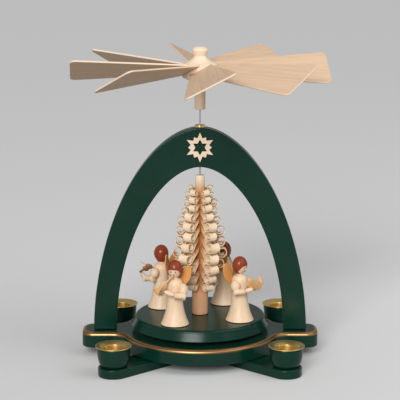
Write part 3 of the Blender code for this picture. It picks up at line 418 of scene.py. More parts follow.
def flattened_shading(piece):
    """Shades the small faces of rounded edges smoothly into the large flat ones."""
    pick(piece)
    bpy.ops.object.shade_smooth_by_angle(angle=SMOOTH_ANGLE)
    weighted = piece.modifiers.new("flat", "WEIGHTED_NORMAL")
    weighted.keep_sharp = True
    weighted.weight = FLAT_WEIGHT
    return use_modifier(piece, weighted)


def thickened(piece, thickness):
    """Gives a sheet its thickness, half to each side."""
    solid = piece.modifiers.new("thickness", "SOLIDIFY")
    solid.thickness = thickness
    solid.offset = 0.0
    solid.use_even_offset = True
    return use_modifier(piece, solid)


def discard(*pieces):
    pick(*pieces)
    bpy.ops.object.delete()


def cut_away(piece, *cutters):
    """Takes the cutters' shapes out of a piece, and deletes the cutters."""
    for cutter in cutters:
        cut = piece.modifiers.new("cut", "BOOLEAN")
        cut.operation = "DIFFERENCE"
        cut.solver = "EXACT"
        cut.object = cutter
        use_modifier(piece, cut)
    discard(*cutters)
    return piece


def without_slivers(piece):
    """Takes out the faces of no width that a cut can leave."""
    pick(piece)
    bpy.ops.object.mode_set(mode="EDIT")
    bpy.ops.mesh.select_all(action="SELECT")
    bpy.ops.mesh.dissolve_degenerate(threshold=SLIVER)
    bpy.ops.object.mode_set(mode="OBJECT")
    return piece


def copied(piece, name):
    """A copy with its own mesh."""
    pick(piece)
    bpy.ops.object.duplicate(linked=False)
    return named(bpy.context.object, name)


def placed(piece, matrix):
    """Carries a piece to its place and keeps that place in its mesh."""
    pick(piece)
    piece.matrix_world = matrix
    bpy.ops.object.transform_apply(location=True, rotation=True, scale=True)
    return piece


def mirrored(piece, name):
    """A copy on the other side of a figure, from left to right."""
    twin = placed(copied(piece, name), Matrix.Scale(-1, 4, (0, 1, 0)))
    bpy.ops.object.mode_set(mode="EDIT")
    close_skin()
    return twin


def joined(name, *pieces):
    pick(*pieces)
    bpy.ops.object.join()
    return named(bpy.context.object, name)


def mark_grain(piece, along="X", shift=0.0):
    """Keeps each point's place in the uncut wood, first along the grain and then across it."""
    order = {"X": (0, 1, 2), "Y": (1, 2, 0), "Z": (2, 0, 1)}[along]
    fields = piece.data.attributes
    field = fields.get("grain") or fields.new("grain", "FLOAT_VECTOR", "POINT")
    for point, vertex in zip(field.data, piece.data.vertices):
        point.vector = [vertex.co[axis] + shift * (1 + axis) for axis in order]
    return piece


def with_finish(piece, *names):
    """Gives a piece a material slot for each of these finishes."""
    for name in names:
        piece.data.materials.append(finish(name))
    return piece


def finish_piece(piece, body, slot, *nodes):
    """Smooths a modelled piece, hangs it on the body it rides on and hides the CAD nodes that it stands for."""
    pick(piece)
    if not piece.data.has_custom_normals:
        bpy.ops.object.shade_smooth_by_angle(angle=SMOOTH_ANGLE)
    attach(piece, body)
    if nodes:
        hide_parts(*nodes)
    return piece


def finish_node(node, name):
    """Gives a CAD node that stays in view its finish."""
    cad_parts[node].data.materials[0] = finish(name)


def arc(centre, radius, start, end, steps):
    """Points round a circle, from one angle to another."""
    turns = (start + (end - start) * step / steps for step in range(steps + 1))
    return [(centre[0] + radius * math.cos(turn), centre[1] + radius * math.sin(turn)) for turn in turns]


def spread(start, end, steps):
    return [start + (end - start) * step / steps for step in range(steps + 1)]


def about_z(turn):
    return Matrix.Rotation(turn, 4, "Z")


def lift(height):
    return Matrix.Translation((0, 0, height))


def upright():
    """Stands a sawn board up, so that its outline faces the front."""
    return Matrix.Rotation(QUARTER_TURN, 4, "X")


def strip_outline(start, end, half):
    """A straight strip along X, this far to each side."""
    return [(start, -half), (end, -half), (end, half), (start, half)]


def along(start, end):
    """Carries a turned piece so that its axis runs from one point to another."""
    direction = Vector(end) - Vector(start)
    return Matrix.Translation(start) @ direction.to_track_quat("Z", "Y").to_matrix().to_4x4()


# Where the first shader node stands in its editor, and how the next ones are set out
NODE_START = -2400
NODE_STEP = 180
NODE_DROP = 220
NODE_ROWS = 4


class NodeBench:
    """Adds and wires shader nodes in one tree."""

    def __init__(self, tree):
        self.tree = tree
        self.column = 0

    def add(self, kind, settings=None, **inputs):
        """Adds a node. An input is a value, or an output socket to wire to it."""
        node = self.tree.nodes.new(kind)
        self.column += 1
        node.location = (NODE_START + NODE_STEP * self.column, -NODE_DROP * (self.column % NODE_ROWS))
        for name, value in (settings or {}).items():
            setattr(node, name, value)
        for name, value in inputs.items():
            self.wire(node, name, value)
        return node

    def wire(self, node, name, value):
        """Sets or links one input, by its label or by the letter i and its number."""
        numbered = name[0] == "i" and name[1:].isdigit()
        socket = node.inputs[int(name[1:]) if numbered else name]
        if isinstance(value, bpy.types.NodeSocket):
            self.tree.links.new(value, socket)
        else:
            socket.default_value = value

    def skin(self, group, inputs):
        """Adds a node group, with its inputs by their labels."""
        node = self.add("ShaderNodeGroup", {"node_tree": group})
        for label, value in inputs.items():
            self.wire(node, label, value)
        return node

    def place(self):
        return self.add("ShaderNodeTexCoord").outputs["Object"]

    def mark(self, name, output):
        """What a piece keeps under this name at each of its points."""
        return self.add("ShaderNodeAttribute", {"attribute_name": name}).outputs[output]

    def stretched(self, vector, scale):
        """A place stretched by one scale, or by one for each axis."""
        scales = scale if isinstance(scale, tuple) else (scale, scale, scale)
        return self.add("ShaderNodeVectorMath", {"operation": "MULTIPLY"}, i0=vector, i1=scales).outputs[0]

    def noise(self, vector, scale, detail=2.0, roughness=0.5, distortion=0.0):
        """Noise with so many lumps to the metre."""
        node = self.add("ShaderNodeTexNoise", None, Vector=self.stretched(vector, scale), Scale=1.0)
        for name, number in (("Detail", detail), ("Roughness", roughness), ("Distortion", distortion)):
            node.inputs[name].default_value = number
        return node.outputs["Fac"]

    def ranged(self, value, low, high, bottom=0.0, top=1.0):
        """Runs from bottom to top while the value runs from low to high."""
        node = self.add("ShaderNodeMapRange", {"clamp": True}, Value=value)
        for name, number in zip(("From Min", "From Max", "To Min", "To Max"), (low, high, bottom, top)):
            node.inputs[name].default_value = number
        return node.outputs["Result"]

    def math(self, operation, first, second):
        return self.add("ShaderNodeMath", {"operation": operation}, i0=first, i1=second).outputs[0]

    def mixed(self, share, first, second):
        node = self.add("ShaderNodeMix", {"data_type": "RGBA"}, i0=share, i6=first, i7=second)
        return node.outputs[2]


# Lumps of noise to the metre, along the grain and across it
RING_SCALE = (14.0, 330.0, 330.0)
FIBRE_SCALE = (120.0, 4200.0, 4200.0)
PORE_SCALE = (380.0, 3300.0, 3300.0)
RING_COUNT = 7.0
# Lumps of noise to the metre, in paint, metal and paper
DEPTH_SCALE = 45.0
FLOW_SCALE = 420.0
DUST_SCALE = 2600.0
LATHE_SCALE = (5200.0, 5200.0, 1.0)
TARNISH_SCALE = 140.0
TOOTH_SCALE = 900.0
# Strength of a surface's relief, and its depth
WOOD_RELIEF = (0.18, 0.0001)
PAINT_RELIEF = (0.1, 0.0002)
METAL_RELIEF = (0.01, 0.0001)
WOOD_SHEEN = 0.2
FLOAT = "NodeSocketFloat"
COLOUR = "NodeSocketColor"
SKIN_OUTPUTS = (("Colour", COLOUR), ("Height", FLOAT), ("Roughness", FLOAT))


def opaque(colour):
    return (*colour, 1.0)


def new_group(name, inputs):
    """A shader group with (name, socket type, default) inputs and a skin's outputs, its bench and what it is given."""
    group = bpy.data.node_groups.new(name, "ShaderNodeTree")
    for label, kind, default in inputs:
        socket = group.interface.new_socket(name=label, in_out="INPUT", socket_type=kind)
        if default is not None:
            socket.default_value = default
    for label, kind in SKIN_OUTPUTS:
        group.interface.new_socket(name=label, in_out="OUTPUT", socket_type=kind)
    bench = NodeBench(group)
    return group, bench, bench.add("NodeGroupInput").outputs


def wood_figure():
    """Growth rings, fibres and pores of wood whose grain runs along the first number of its grain place."""
    group = bpy.data.node_groups.get("wood_figure")
    if group:
        return group
    inputs = (
        ("Grain", "NodeSocketVector", None),
        ("Light wood", COLOUR, (0.8, 0.6, 0.4, 1.0)),
        ("Dark wood", COLOUR, (0.6, 0.4, 0.25, 1.0)),
        ("Rings", FLOAT, 0.6),
        ("Pores", FLOAT, 0.5),
    )
    group, bench, given = new_group("wood_figure", inputs)
    rings = bench.noise(given["Grain"], RING_SCALE, distortion=0.7)
    bands = bench.math("PINGPONG", bench.math("MULTIPLY", rings, RING_COUNT), 1.0)
    fibres = bench.noise(given["Grain"], FIBRE_SCALE, detail=3.0, roughness=0.6)
    pores = bench.noise(given["Grain"], PORE_SCALE, detail=1.0)
    ring_share = bench.math("MULTIPLY", bench.ranged(bands, 0.25, 1.0), given["Rings"])
    fibre_share = bench.ranged(fibres, 0.3, 0.75, 0.0, 0.42)
    fleck_share = bench.math("MULTIPLY", bench.ranged(pores, 0.66, 0.74), given["Pores"])
    share = bench.math("MAXIMUM", bench.math("ADD", ring_share, fibre_share), fleck_share)
    colour = bench.mixed(share, given["Light wood"], given["Dark wood"])
    height = bench.math("SUBTRACT", fibres, fleck_share)
    roughness = bench.ranged(fibres, 0.2, 0.8, 0.44, 0.62)
    bench.add("NodeGroupOutput", None, Colour=colour, Height=height, Roughness=roughness)
    return group


def paint_skin():
    """Brushed paint: a faint flow in its surface, slow changes of depth and a little settled dust."""
    group = bpy.data.node_groups.get("paint_skin")
    if group:
        return group
    inputs = (
        ("Place", "NodeSocketVector", None),
        ("Paint", COLOUR, (0.1, 0.1, 0.1, 1.0)),
        ("Thin paint", COLOUR, (0.2, 0.2, 0.2, 1.0)),
        ("Gloss", FLOAT, 0.2),
    )
    group, bench, given = new_group("paint_skin", inputs)
    depth = bench.noise(given["Place"], DEPTH_SCALE, detail=3.0, roughness=0.55)
    flow = bench.noise(given["Place"], FLOW_SCALE)
    specks = bench.ranged(bench.noise(given["Place"], DUST_SCALE, detail=0.0), 0.76, 0.82)
    thinning = bench.ranged(depth, 0.4, 0.75, 0.0, 0.5)
    share = bench.math("MAXIMUM", thinning, bench.math("MULTIPLY", specks, 0.8))
    colour = bench.mixed(share, given["Paint"], given["Thin paint"])
    haze = bench.ranged(depth, 0.3, 0.8, -0.03, 0.06)
    dulling = bench.math("ADD", haze, bench.math("MULTIPLY", specks, 0.2))
    roughness = bench.math("ADD", given["Gloss"], dulling)
    height = bench.math("ADD", flow, bench.math("MULTIPLY", specks, 0.3))
    bench.add("NodeGroupOutput", None, Colour=colour, Height=height, Roughness=roughness)
    return group


def new_material(name, **values):
    """A node material, its bench and its shader, with constant values set on the shader's own sockets."""
    material = bpy.data.materials.new(name)
    material.use_nodes = True
    bench = NodeBench(material.node_tree)
    shader = material.node_tree.nodes["Principled BSDF"]
    for label, value in values.items():
        shader.inputs[label.replace("_", " ")].default_value = value
    return material, bench, shader


def dress(bench, shader, skin, strength, distance):
    """Feeds a group's colour, roughness and height to the shader."""
    bump = bench.add("ShaderNodeBump", None, Strength=strength, Distance=distance, Height=skin.outputs["Height"])
    bench.wire(shader, "Base Color", skin.outputs["Colour"])
    bench.wire(shader, "Roughness", skin.outputs["Roughness"])
    bench.wire(shader, "Normal", bump.outputs["Normal"])


def recoloured(material):
    """A finished material's bench, its shader and the socket that colours it so far."""
    shader = material.node_tree.nodes["Principled BSDF"]
    return NodeBench(material.node_tree), shader, shader.inputs["Base Color"].links[0].from_socket


def lighter(colour, share):
    return tuple(level + (1.0 - level) * share for level in colour)


def finishes():
    return bpy.context.scene.pyramid_finishes


# Lighter and darker wood, how strongly its rings and its pores show, and what else its shader is given
WOODS = {
    "waxed_pale_wood": ("wood", "wood_figure", 0.5, 0.55, {"Coat_Weight": 0.3, "Coat_Roughness": 0.3}),
    "split_slat_wood": ("slat", "slat_figure", 0.55, 0.5, {}),
    "bleached_wood": ("bleached", "wood", 0.4, 0.3, {}),
    "honey_wood": ("honey", "honey_figure", 0.5, 0.4, {}),
    "amber_wing_wood": ("wing", "wing_figure", 0.5, 0.4, {}),
    "shaved_wood": ("shaving", "shaving_figure", 0.5, 0.35, {}),
    "stained_violin_wood": ("stain", "stain_figure", 0.6, 0.5, {}),
    "songbook_page_wood": ("page", "wood", 0.35, 0.2, {}),
    "tinted_face_wood": ("face", "blush", 0.22, 0.12, {}),
}
# Paint, how much lighter it is where it is thin, its roughness and what else its shader is given
PAINTS = {
    "deep_green_lacquer": ("lacquer", 0.008, 0.23, {"Specular_IOR_Level": 0.24}),
    "red_brown_hair_paint": ("hair", 0.03, 0.2, {"Specular_IOR_Level": 0.28}),
    "dark_eye_paint": ("eye", 0.03, 0.3, {}),
    "red_mouth_paint": ("mouth", 0.05, 0.35, {}),
    "plain_screw_steel": ("steel", 0.15, 0.3, {"Metallic": 1.0}),
    "bearing_glass_clear": ("glass", 0.5, 0.06, {"Transmission_Weight": 1.0, "IOR": 1.5}),
}
GOLD_ROUGHNESS = 0.4
BRASS_ROUGHNESS = 0.3
STEEL_ROUGHNESS = 0.28
STEEL_TARNISH = 0.1


def wood_skin(bench, grain, light, dark, **strengths):
    colours = {"Light wood": opaque(light), "Dark wood": opaque(dark)}
    return bench.skin(wood_figure(), {"Grain": grain, **colours, **strengths})


def wood_material(name):
    """Bare wood, with its grain as marked on the piece."""
    light, dark, rings, pores, values = WOODS[name]
    light, dark = getattr(finishes(), light), getattr(finishes(), dark)
    material, bench, shader = new_material(name, Specular_IOR_Level=WOOD_SHEEN, **values)
    skin = wood_skin(bench, bench.mark("grain", "Vector"), light, dark, Rings=rings, Pores=pores)
    dress(bench, shader, skin, *WOOD_RELIEF)
    return material


def shaved_wood(name):
    """Fresh wood of the curls, with painted shade that deepens towards the stick."""
    material = wood_material(name)
    bench, shader, fresh = recoloured(material)
    # Mixes in the painted shade by how deep each point lies between the curls
    share = bench.ranged(bench.mark("depth", "Fac"), 0.05, 0.8, 0.0, 0.95)
    bench.wire(shader, "Base Color", bench.mixed(share, fresh, opaque(finishes().valley)))
    return material


def upright_wood(name):
    """Wood of a CAD node, which carries no grain marks. Its grain is upright."""
    material, bench, shader = new_material(name)
    quarter = (0.0, QUARTER_TURN, 0.0)
    place = bench.add("ShaderNodeMapping", None, Vector=bench.place(), Rotation=quarter).outputs[0]
    dress(bench, shader, wood_skin(bench, place, finishes().wood, finishes().wood_figure), *WOOD_RELIEF)
    return material


def painted(name, paint, thin_paint, gloss, **values):
    """Paint over wood, by its place in the object."""
    material, bench, shader = new_material(name, **values)
    colours = {"Paint": opaque(paint), "Thin paint": opaque(thin_paint)}
    skin = bench.skin(paint_skin(), {"Place": bench.place(), **colours, "Gloss": gloss})
    dress(bench, shader, skin, *PAINT_RELIEF)
    return material


def paint_material(name):
    colour, thinning, gloss, values = PAINTS[name]
    paint = tuple(getattr(finishes(), colour))
    return painted(name, paint, lighter(paint, thinning), gloss, **values)


def gold_line(name):
    """Gold that runs in lighter and darker bands by their height on the base's rounded edge."""
    material = painted(name, finishes().gold, finishes().gold_shade, GOLD_ROUGHNESS, Metallic=1.0)
    bench, shader, gold = recoloured(material)
    height = bench.add("ShaderNodeSeparateXYZ", None, Vector=bench.place()).outputs["Z"]
    edge = bpy.context.scene.pyramid_stand.base_round
    down = bench.ranged(height, BASE_TOP - edge, BASE_TOP, 2.0, 0.0)
    line = bench.ranged(bench.math("PINGPONG", bench.math("ADD", down, 0.3), 0.5), 0.1, 0.3)
    bench.wire(shader, "Base Color", bench.mixed(line, opaque(finishes().gold_shade), gold))
    return material


def turned_metal(name, bright, shade, gloss):
    """Metal with fine rings from the lathe and a little tarnish, by its place from the turning axis."""
    material, bench, shader = new_material(name, Metallic=1.0)
    grain = bench.mark("grain", "Vector")
    parts = bench.add("ShaderNodeSeparateXYZ", None, Vector=grain).outputs
    across = bench.add("ShaderNodeCombineXYZ", None, X=parts["Y"], Y=parts["Z"]).outputs[0]
    radius = bench.add("ShaderNodeVectorMath", {"operation": "LENGTH"}, i0=across).outputs["Value"]
    rings = bench.add("ShaderNodeCombineXYZ", None, X=radius, Y=parts["X"]).outputs[0]
    lines = bench.noise(rings, LATHE_SCALE, roughness=0.6)
    tarnish = bench.ranged(bench.noise(grain, TARNISH_SCALE), 0.45, 0.75, 0.0, 0.5)
    scored = bench.ranged(lines, 0.3, 0.7, gloss - 0.05, gloss + 0.08)
    strength, distance = METAL_RELIEF
    bump = bench.add("ShaderNodeBump", None, Strength=strength, Distance=distance, Height=lines)
    bench.wire(shader, "Base Color", bench.mixed(tarnish, opaque(bright), opaque(shade)))
    bench.wire(shader, "Roughness", bench.math("ADD", scored, bench.math("MULTIPLY", tarnish, 0.15)))
    bench.wire(shader, "Normal", bump.outputs["Normal"])
    return material


def brass(name):
    return turned_metal(name, finishes().brass, finishes().brass_shade, BRASS_ROUGHNESS)


def steel(name):
    return turned_metal(name, finishes().steel, lighter(finishes().steel, STEEL_TARNISH), STEEL_ROUGHNESS)


MAKERS = {
    **dict.fromkeys(WOODS, wood_material),
    **dict.fromkeys(PAINTS, paint_material),
    "shaved_wood": shaved_wood,
    "dowel_wood": upright_wood,
    "gold_line_paint": gold_line,
    "polished_brass": brass,
    "drawn_steel": steel,
}


def finish(name):
    """The material of this name, made the first time that it is asked for."""
    return bpy.data.materials.get(name) or MAKERS[name](name)


# Sides of the four candle cups, to the right and to the back
CUP_SPOTS = ((-1, -1), (1, -1), (1, 1), (-1, 1))
SCREW_HOLE = 0.0039
SCREW_SHANK_HOLE = 0.0021
SCREW_IN_BASE = 0.0063
BEARING_HOLE = 0.0045
BEARING_DEPTH = 0.0045
RUNNING_GAP = 0.0009
BUSH_BODY = 0.003
SHAFT_BORE = SHAFT_RADIUS + SEAT
SHAFT_POINT = 0.003
SHAFT_STEPS = 24
SHAFT_EASE = 0.0002


def rod_cutter(radius, low, high):
    return turned("cutter", [(0, low), (radius, low), (radius, high), (0, high)], SMALL_LATHE_STEPS)


class PYRAMID_OT_cross_bars(bpy.types.Operator):
    """Two lacquered bars with round ends, halved into each other"""

    bl_idname = "pyramid.cross_bars"
    bl_label = "Cross bars"

    def execute(self, context):
        sizes = context.scene.pyramid_stand
        half = sizes.bar_width / 2
        reach = sizes.cup_reach
        right = arc((reach, 0), half, -QUARTER_TURN, QUARTER_TURN, END_STEPS)
        left = arc((-reach, 0), half, QUARTER_TURN, 3 * QUARTER_TURN, END_STEPS)
        bar = eased(sawn("lacquered_bar_a", right + left, BAR_TOP), sizes.bar_ease)
        notch = sawn("cutter", strip_outline(-reach, reach, half + SEAT), BAR_TOP)
        placed(notch, lift(BAR_TOP - SEAT / 2) @ about_z(-2 * sizes.bar_bearing))
        placed(bar, lift(BAR_TOP / 2))
        cut_away(bar, notch, rod_cutter(SCREW_HOLE, -BAR_TOP, 2 * BAR_TOP))
        flattened_shading(with_finish(bar, "deep_green_lacquer"))
        over = copied(bar, "lacquered_bar_b")
        placed(over, about_z(-sizes.bar_bearing) @ lift(BAR_TOP) @ Matrix.Rotation(math.pi, 4, "X"))
        placed(bar, about_z(sizes.bar_bearing))
        finish_piece(bar, STAND, "green_lacquer", "cross_bar_a")
        finish_piece(over, STAND, "green_lacquer", "cross_bar_b")
        finish_node("cross_screw", "plain_screw_steel")
        return {"FINISHED"}


HOLLOW_STEPS = 12
DISC_STEPS = 28


def base_outline(sizes):
    """A disc with an ear at each side, blended into it by hollow rounds."""
    half = sizes.ear_depth / 2
    corner_x = sizes.ear_reach - sizes.ear_corner
    hollow_y = half + sizes.ear_blend
    hollow_x = math.sqrt((sizes.base_radius + sizes.ear_blend) ** 2 - hollow_y**2)
    meeting = math.atan2(hollow_y, hollow_x)
    corner = arc((corner_x, half - sizes.ear_corner), sizes.ear_corner, 0, QUARTER_TURN, CORNER_STEPS)
    hollow = arc((hollow_x, hollow_y), sizes.ear_blend, -QUARTER_TURN, meeting - math.pi, HOLLOW_STEPS)
    disc = arc((0, 0), sizes.base_radius, meeting, QUARTER_TURN, DISC_STEPS)
    quarter = corner + hollow + disc[1:]
    half_outline = quarter + [(-x, y) for x, y in reversed(quarter[:-1])]
    outline = half_outline + [(-x, -y) for x, y in half_outline]
    return [point for i, point in enumerate(outline) if math.dist(point, outline[i - 1]) > SAME_POINT]


def bevel_edges(piece, test, width, segments, material_index):
    """Rounds the edges whose two ends both pass a test, and gives the round its own material slot."""
    pick(piece)
    mesh = piece.data
    for items in (mesh.vertices, mesh.edges, mesh.polygons):
        items.foreach_set("select", [False] * len(items))
    for edge in mesh.edges:
        edge.select = all(test(mesh.vertices[i].co) for i in edge.vertices)
    bpy.ops.object.mode_set(mode="EDIT")
    bpy.ops.mesh.select_mode(type="EDGE")
    bpy.ops.mesh.bevel(offset=width, segments=segments, profile=0.5, affect="EDGES", material=material_index)
    bpy.ops.mesh.select_mode(type="VERT")
    bpy.ops.object.mode_set(mode="OBJECT")
    return piece


class PYRAMID_OT_base_plate(bpy.types.Operator):
    """The lacquered base with its ears, gold edge line and the seat of the bearing"""

    bl_idname = "pyramid.base_plate"
    bl_label = "Base plate"

    def execute(self, context):
        sizes = context.scene.pyramid_stand
        thickness = BASE_TOP - BASE_FOOT
        base = sawn("lacquered_base", base_outline(sizes), thickness)
        with_finish(base, "deep_green_lacquer", "gold_line_paint")
        edge = sizes.base_round
        bevel_edges(base, lambda co: co.z > thickness / 2 - SAME_POINT, edge, segments=8, material_index=1)
        bevel_edges(base, lambda co: co.z < SAME_POINT - thickness / 2, edge / 3, segments=3, material_index=0)
        placed(base, lift((BASE_TOP + BASE_FOOT) / 2))
        screw = rod_cutter(SCREW_SHANK_HOLE, 0, BASE_FOOT + SCREW_IN_BASE)
        cut_away(base, rod_cutter(BEARING_HOLE, BASE_TOP - BEARING_DEPTH, 2 * BASE_TOP), screw)
        finish_piece(flattened_shading(base), STAND, "green_lacquer", "base_plate")
        finish_node("bearing_cup", "bearing_glass_clear")
        return {"FINISHED"}


CUP_FLOOR = 0.0034
CUP_RIM_WALL = 0.0012
CUP_BOWL_STEPS = 16
DISH_SLOPE = 0.0026
SOCKET_CORNER = 0.001
SOCKET_BEAD = 0.0005
# Where on its round the socket's bead runs out into the slope
BEAD_END = math.radians(-10)


def cup_profile(sizes):
    """From the floor inside over the dish's seat and the rim, down the round bowl to the foot."""
    mouth = sizes.cup_rim - CUP_RIM_WALL
    bore = sizes.socket + sizes.brass + SEAT
    span = sizes.cup_rim - sizes.cup_foot
    bowl = []
    for turn in spread(QUARTER_TURN, 0, CUP_BOWL_STEPS):
        height = sizes.cup_height * (1 - math.cos(turn))
        bowl.append((sizes.cup_foot + span * math.sin(turn), height))
    slope = [(bore, sizes.cup_height - DISH_SLOPE), (mouth, sizes.cup_height)]
    return [(0, CUP_FLOOR), (bore, CUP_FLOOR)] + slope + bowl + [(0, 0)]


def dish_profile(sizes):
    """Thin brass: a socket with a beaded mouth, a slope that catches wax and a brim over the cup's rim."""
    floor = CUP_FLOOR + SEAT
    under = sizes.cup_height + SEAT
    top = under + sizes.brass
    throat = top - DISH_SLOPE
    outer = sizes.socket + sizes.brass
    mouth = sizes.cup_rim - CUP_RIM_WALL
    brim = sizes.cup_rim + sizes.dish_brim
    half = sizes.brass / 2
    inside = (sizes.socket - SOCKET_CORNER, floor + sizes.brass + SOCKET_CORNER)
    corner = arc(inside, SOCKET_CORNER, -QUARTER_TURN, 0, steps=5)
    bead_middle = (sizes.socket + SOCKET_BEAD, throat + SOCKET_BEAD)
    bead = arc(bead_middle, SOCKET_BEAD, math.pi, BEAD_END, steps=9)
    edge = arc((brim - half, top + sizes.dish_lip - half), half, QUARTER_TURN, -QUARTER_TURN, steps=6)
    upper = [(0, floor + sizes.brass)] + corner + bead + [(mouth, top), (sizes.cup_rim, top + sizes.dish_lip / 4)]
    lower = [(sizes.cup_rim, under), (mouth, under), (outer, throat - sizes.brass), (outer, floor), (0, floor)]
    return upper + edge + lower


class PYRAMID_OT_candle_cups(bpy.types.Operator):
    """Four turned and lacquered cups, each with a brass dish for a candle"""

    bl_idname = "pyramid.candle_cups"
    bl_label = "Candle cups"

    def execute(self, context):
        sizes = context.scene.pyramid_stand
        out = sizes.cup_reach
        cup = with_finish(eased(turned("cup_pattern", cup_profile(sizes)), TURNED_EASE), "deep_green_lacquer")
        dish = with_finish(mark_grain(turned("dish_pattern", dish_profile(sizes)), "Z"), "polished_brass")
        for index, (side, front) in enumerate(CUP_SPOTS, start=1):
            x = side * out * math.cos(sizes.bar_bearing)
            y = front * out * math.sin(sizes.bar_bearing)
            spot = Matrix.Translation((x, y, BAR_TOP + SEAT)) @ about_z(index)
            one_cup = placed(copied(cup, f"turned_cup_{index}"), spot)
            one_dish = placed(copied(dish, f"brass_dish_{index}"), spot)
            finish_piece(one_cup, STAND, "green_lacquer", f"candle_cup_{index}")
            finish_piece(one_dish, STAND, "brass", f"candle_dish_{index}")
        discard(cup, dish)
        return {"FINISHED"}


def arch_curve(half_width, height, power, steps=56):
    """A rounded, slightly pointed vault from the right foot over the crown to the left foot."""
    points = []
    for turn in spread(0, math.pi, 2 * steps):
        across = math.copysign(abs(math.cos(turn)) ** (2 / power), math.cos(turn))
        points.append((half_width * across, height * abs(math.sin(turn)) ** (2 / power)))
    return points


class PYRAMID_OT_arch(bpy.types.Operator):
    """The lacquered arch, bored for the bush and the shaft"""

    bl_idname = "pyramid.arch"
    bl_label = "Arch"

    def execute(self, context):
        sizes = context.scene.pyramid_stand
        outer_half = reach_of("arch")
        rise = ARCH_TOP - ARCH_FOOT
        outer = arch_curve(outer_half, rise, sizes.arch_power)
        inner = arch_curve(outer_half - sizes.arch_leg, rise - sizes.arch_crown, sizes.arch_power)
        arch = eased(sawn("lacquered_arch", outer + inner[::-1], sizes.arch_depth), sizes.arch_ease)
        placed(arch, lift(ARCH_FOOT) @ upright())
        flange_foot = BUSH_TOP - sizes.bush_flange_height - SEAT
        bore = [
            (0, BUSH_FOOT - sizes.arch_crown),
            (SHAFT_RADIUS + RUNNING_GAP, BUSH_FOOT - sizes.arch_crown),
            (SHAFT_RADIUS + RUNNING_GAP, BUSH_FOOT - SEAT),
            (BUSH_BODY + SEAT, BUSH_FOOT - SEAT),
            (BUSH_BODY + SEAT, flange_foot),
            (sizes.bush_flange + SEAT, flange_foot),
            (sizes.bush_flange + SEAT, 2 * ARCH_TOP),
            (0, 2 * ARCH_TOP),
        ]
        cut_away(arch, turned("cutter", bore, SMALL_LATHE_STEPS))
        flattened_shading(with_finish(arch, "deep_green_lacquer"))
        finish_piece(arch, STAND, "green_lacquer", "arch")
        for side in ("left", "right"):
            finish_node(f"arch_dowel_{side}", "dowel_wood")
        return {"FINISHED"}


STAR_EASE = 0.00025


def star_outline(radii, points=6):
    """A star that cycles through these radii, with its first long point upward."""
    corners = radii * points
    turns = [QUARTER_TURN + FULL_TURN * i / len(corners) for i in range(len(corners))]
    return [(radius * math.cos(turn), radius * math.sin(turn)) for radius, turn in zip(corners, turns)]


class PYRAMID_OT_star(bpy.types.Operator):
    """The pierced star on the front of the arch's crown"""

    bl_idname = "pyramid.star"
    bl_label = "Star"

    def execute(self, context):
        sizes = context.scene.pyramid_stand
        rays = star_outline((sizes.star_radius, sizes.star_valley, sizes.star_short, sizes.star_valley))
        star = sawn("sawn_star", rays, sizes.star_thickness)
        hole = star_outline((sizes.star_hole, sizes.star_hole_valley))
        cut_away(star, sawn("cutter", hole, 2 * sizes.star_thickness))
        eased(star, STAR_EASE, segments=2)
        flattened_shading(mark_grain(with_finish(star, "bleached_wood"), "Y", GRAIN_SHIFTS["star"]))
        front = sizes.arch_depth / 2 + SEAT + sizes.star_thickness / 2
        placed(star, Matrix.Translation((0, -front, ARCH_TOP - sizes.star_drop)) @ upright())
        finish_piece(star, STAND, "pale_wood", "arch_star")
        return {"FINISHED"}


def eased_turning(name, profile, ease, steps=SMALL_LATHE_STEPS, shift=0.0):
    """A turned piece with its edges eased and its grain along its axis."""
    return mark_grain(eased(turned(name, profile, steps), ease), "Z", shift)


class PYRAMID_OT_bush_and_shaft(bpy.types.Operator):
    """The brass bush in the crown and the steel shaft that turns in it"""

    bl_idname = "pyramid.bush_and_shaft"
    bl_label = "Bush and shaft"

    def execute(self, context):
        sizes = context.scene.pyramid_stand
        flange_foot = BUSH_TOP - sizes.bush_flange_height
        profile = [
            (SHAFT_BORE, BUSH_FOOT),
            (BUSH_BODY, BUSH_FOOT),
            (BUSH_BODY, flange_foot),
            (sizes.bush_flange, flange_foot),
            (sizes.bush_flange, BUSH_TOP),
            (SHAFT_BORE, BUSH_TOP),
            (SHAFT_BORE, BUSH_FOOT),
        ]
        bush = with_finish(eased_turning("brass_bush", profile, TURNED_EASE), "polished_brass")
        finish_piece(bush, STAND, "brass", "arch_bush")
        side = [(SHAFT_RADIUS, SHAFT_FOOT + SHAFT_POINT), (SHAFT_RADIUS, SHAFT_TOP)]
        wire = [(0, SHAFT_FOOT)] + side + [(0, SHAFT_TOP)]
        shaft = with_finish(eased_turning("steel_wire_shaft", wire, SHAFT_EASE, SHAFT_STEPS), "drawn_steel")
        finish_piece(shaft, ROTOR, "steel", "shaft")
        return {"FINISHED"}


TABLE_FOOT_ROUND = 0.0006


class PYRAMID_OT_turntable(bpy.types.Operator):
    """The lacquered disc that carries the tree and the figures"""

    bl_idname = "pyramid.turntable"
    bl_label = "Turntable"

    def execute(self, context):
        sizes = context.scene.pyramid_rotor
        centre = (sizes.table_radius - sizes.table_round, TABLE_TOP - sizes.table_round)
        edge = arc(centre, sizes.table_round, QUARTER_TURN, 0, steps=10)
        lower_centre = (sizes.table_foot - TABLE_FOOT_ROUND, TABLE_FOOT + TABLE_FOOT_ROUND)
        lower = arc(lower_centre, TABLE_FOOT_ROUND, 0, -QUARTER_TURN, steps=4)
        bore = [(SHAFT_BORE, TABLE_FOOT), (SHAFT_BORE, TABLE_TOP)]
        table = turned("lacquered_turntable", bore + edge + lower + bore[:1], FINE_LATHE_STEPS)
        flattened_shading(with_finish(table, "deep_green_lacquer"))
        finish_piece(table, ROTOR, "green_lacquer", "turntable")
        return {"FINISHED"}


# Faces of a slat that turn further than this from its flat side are its edges, which take the whiter wood as a painted
# highlight
FLAT_FACE = 0.8
SLAT_EASE = 0.00045
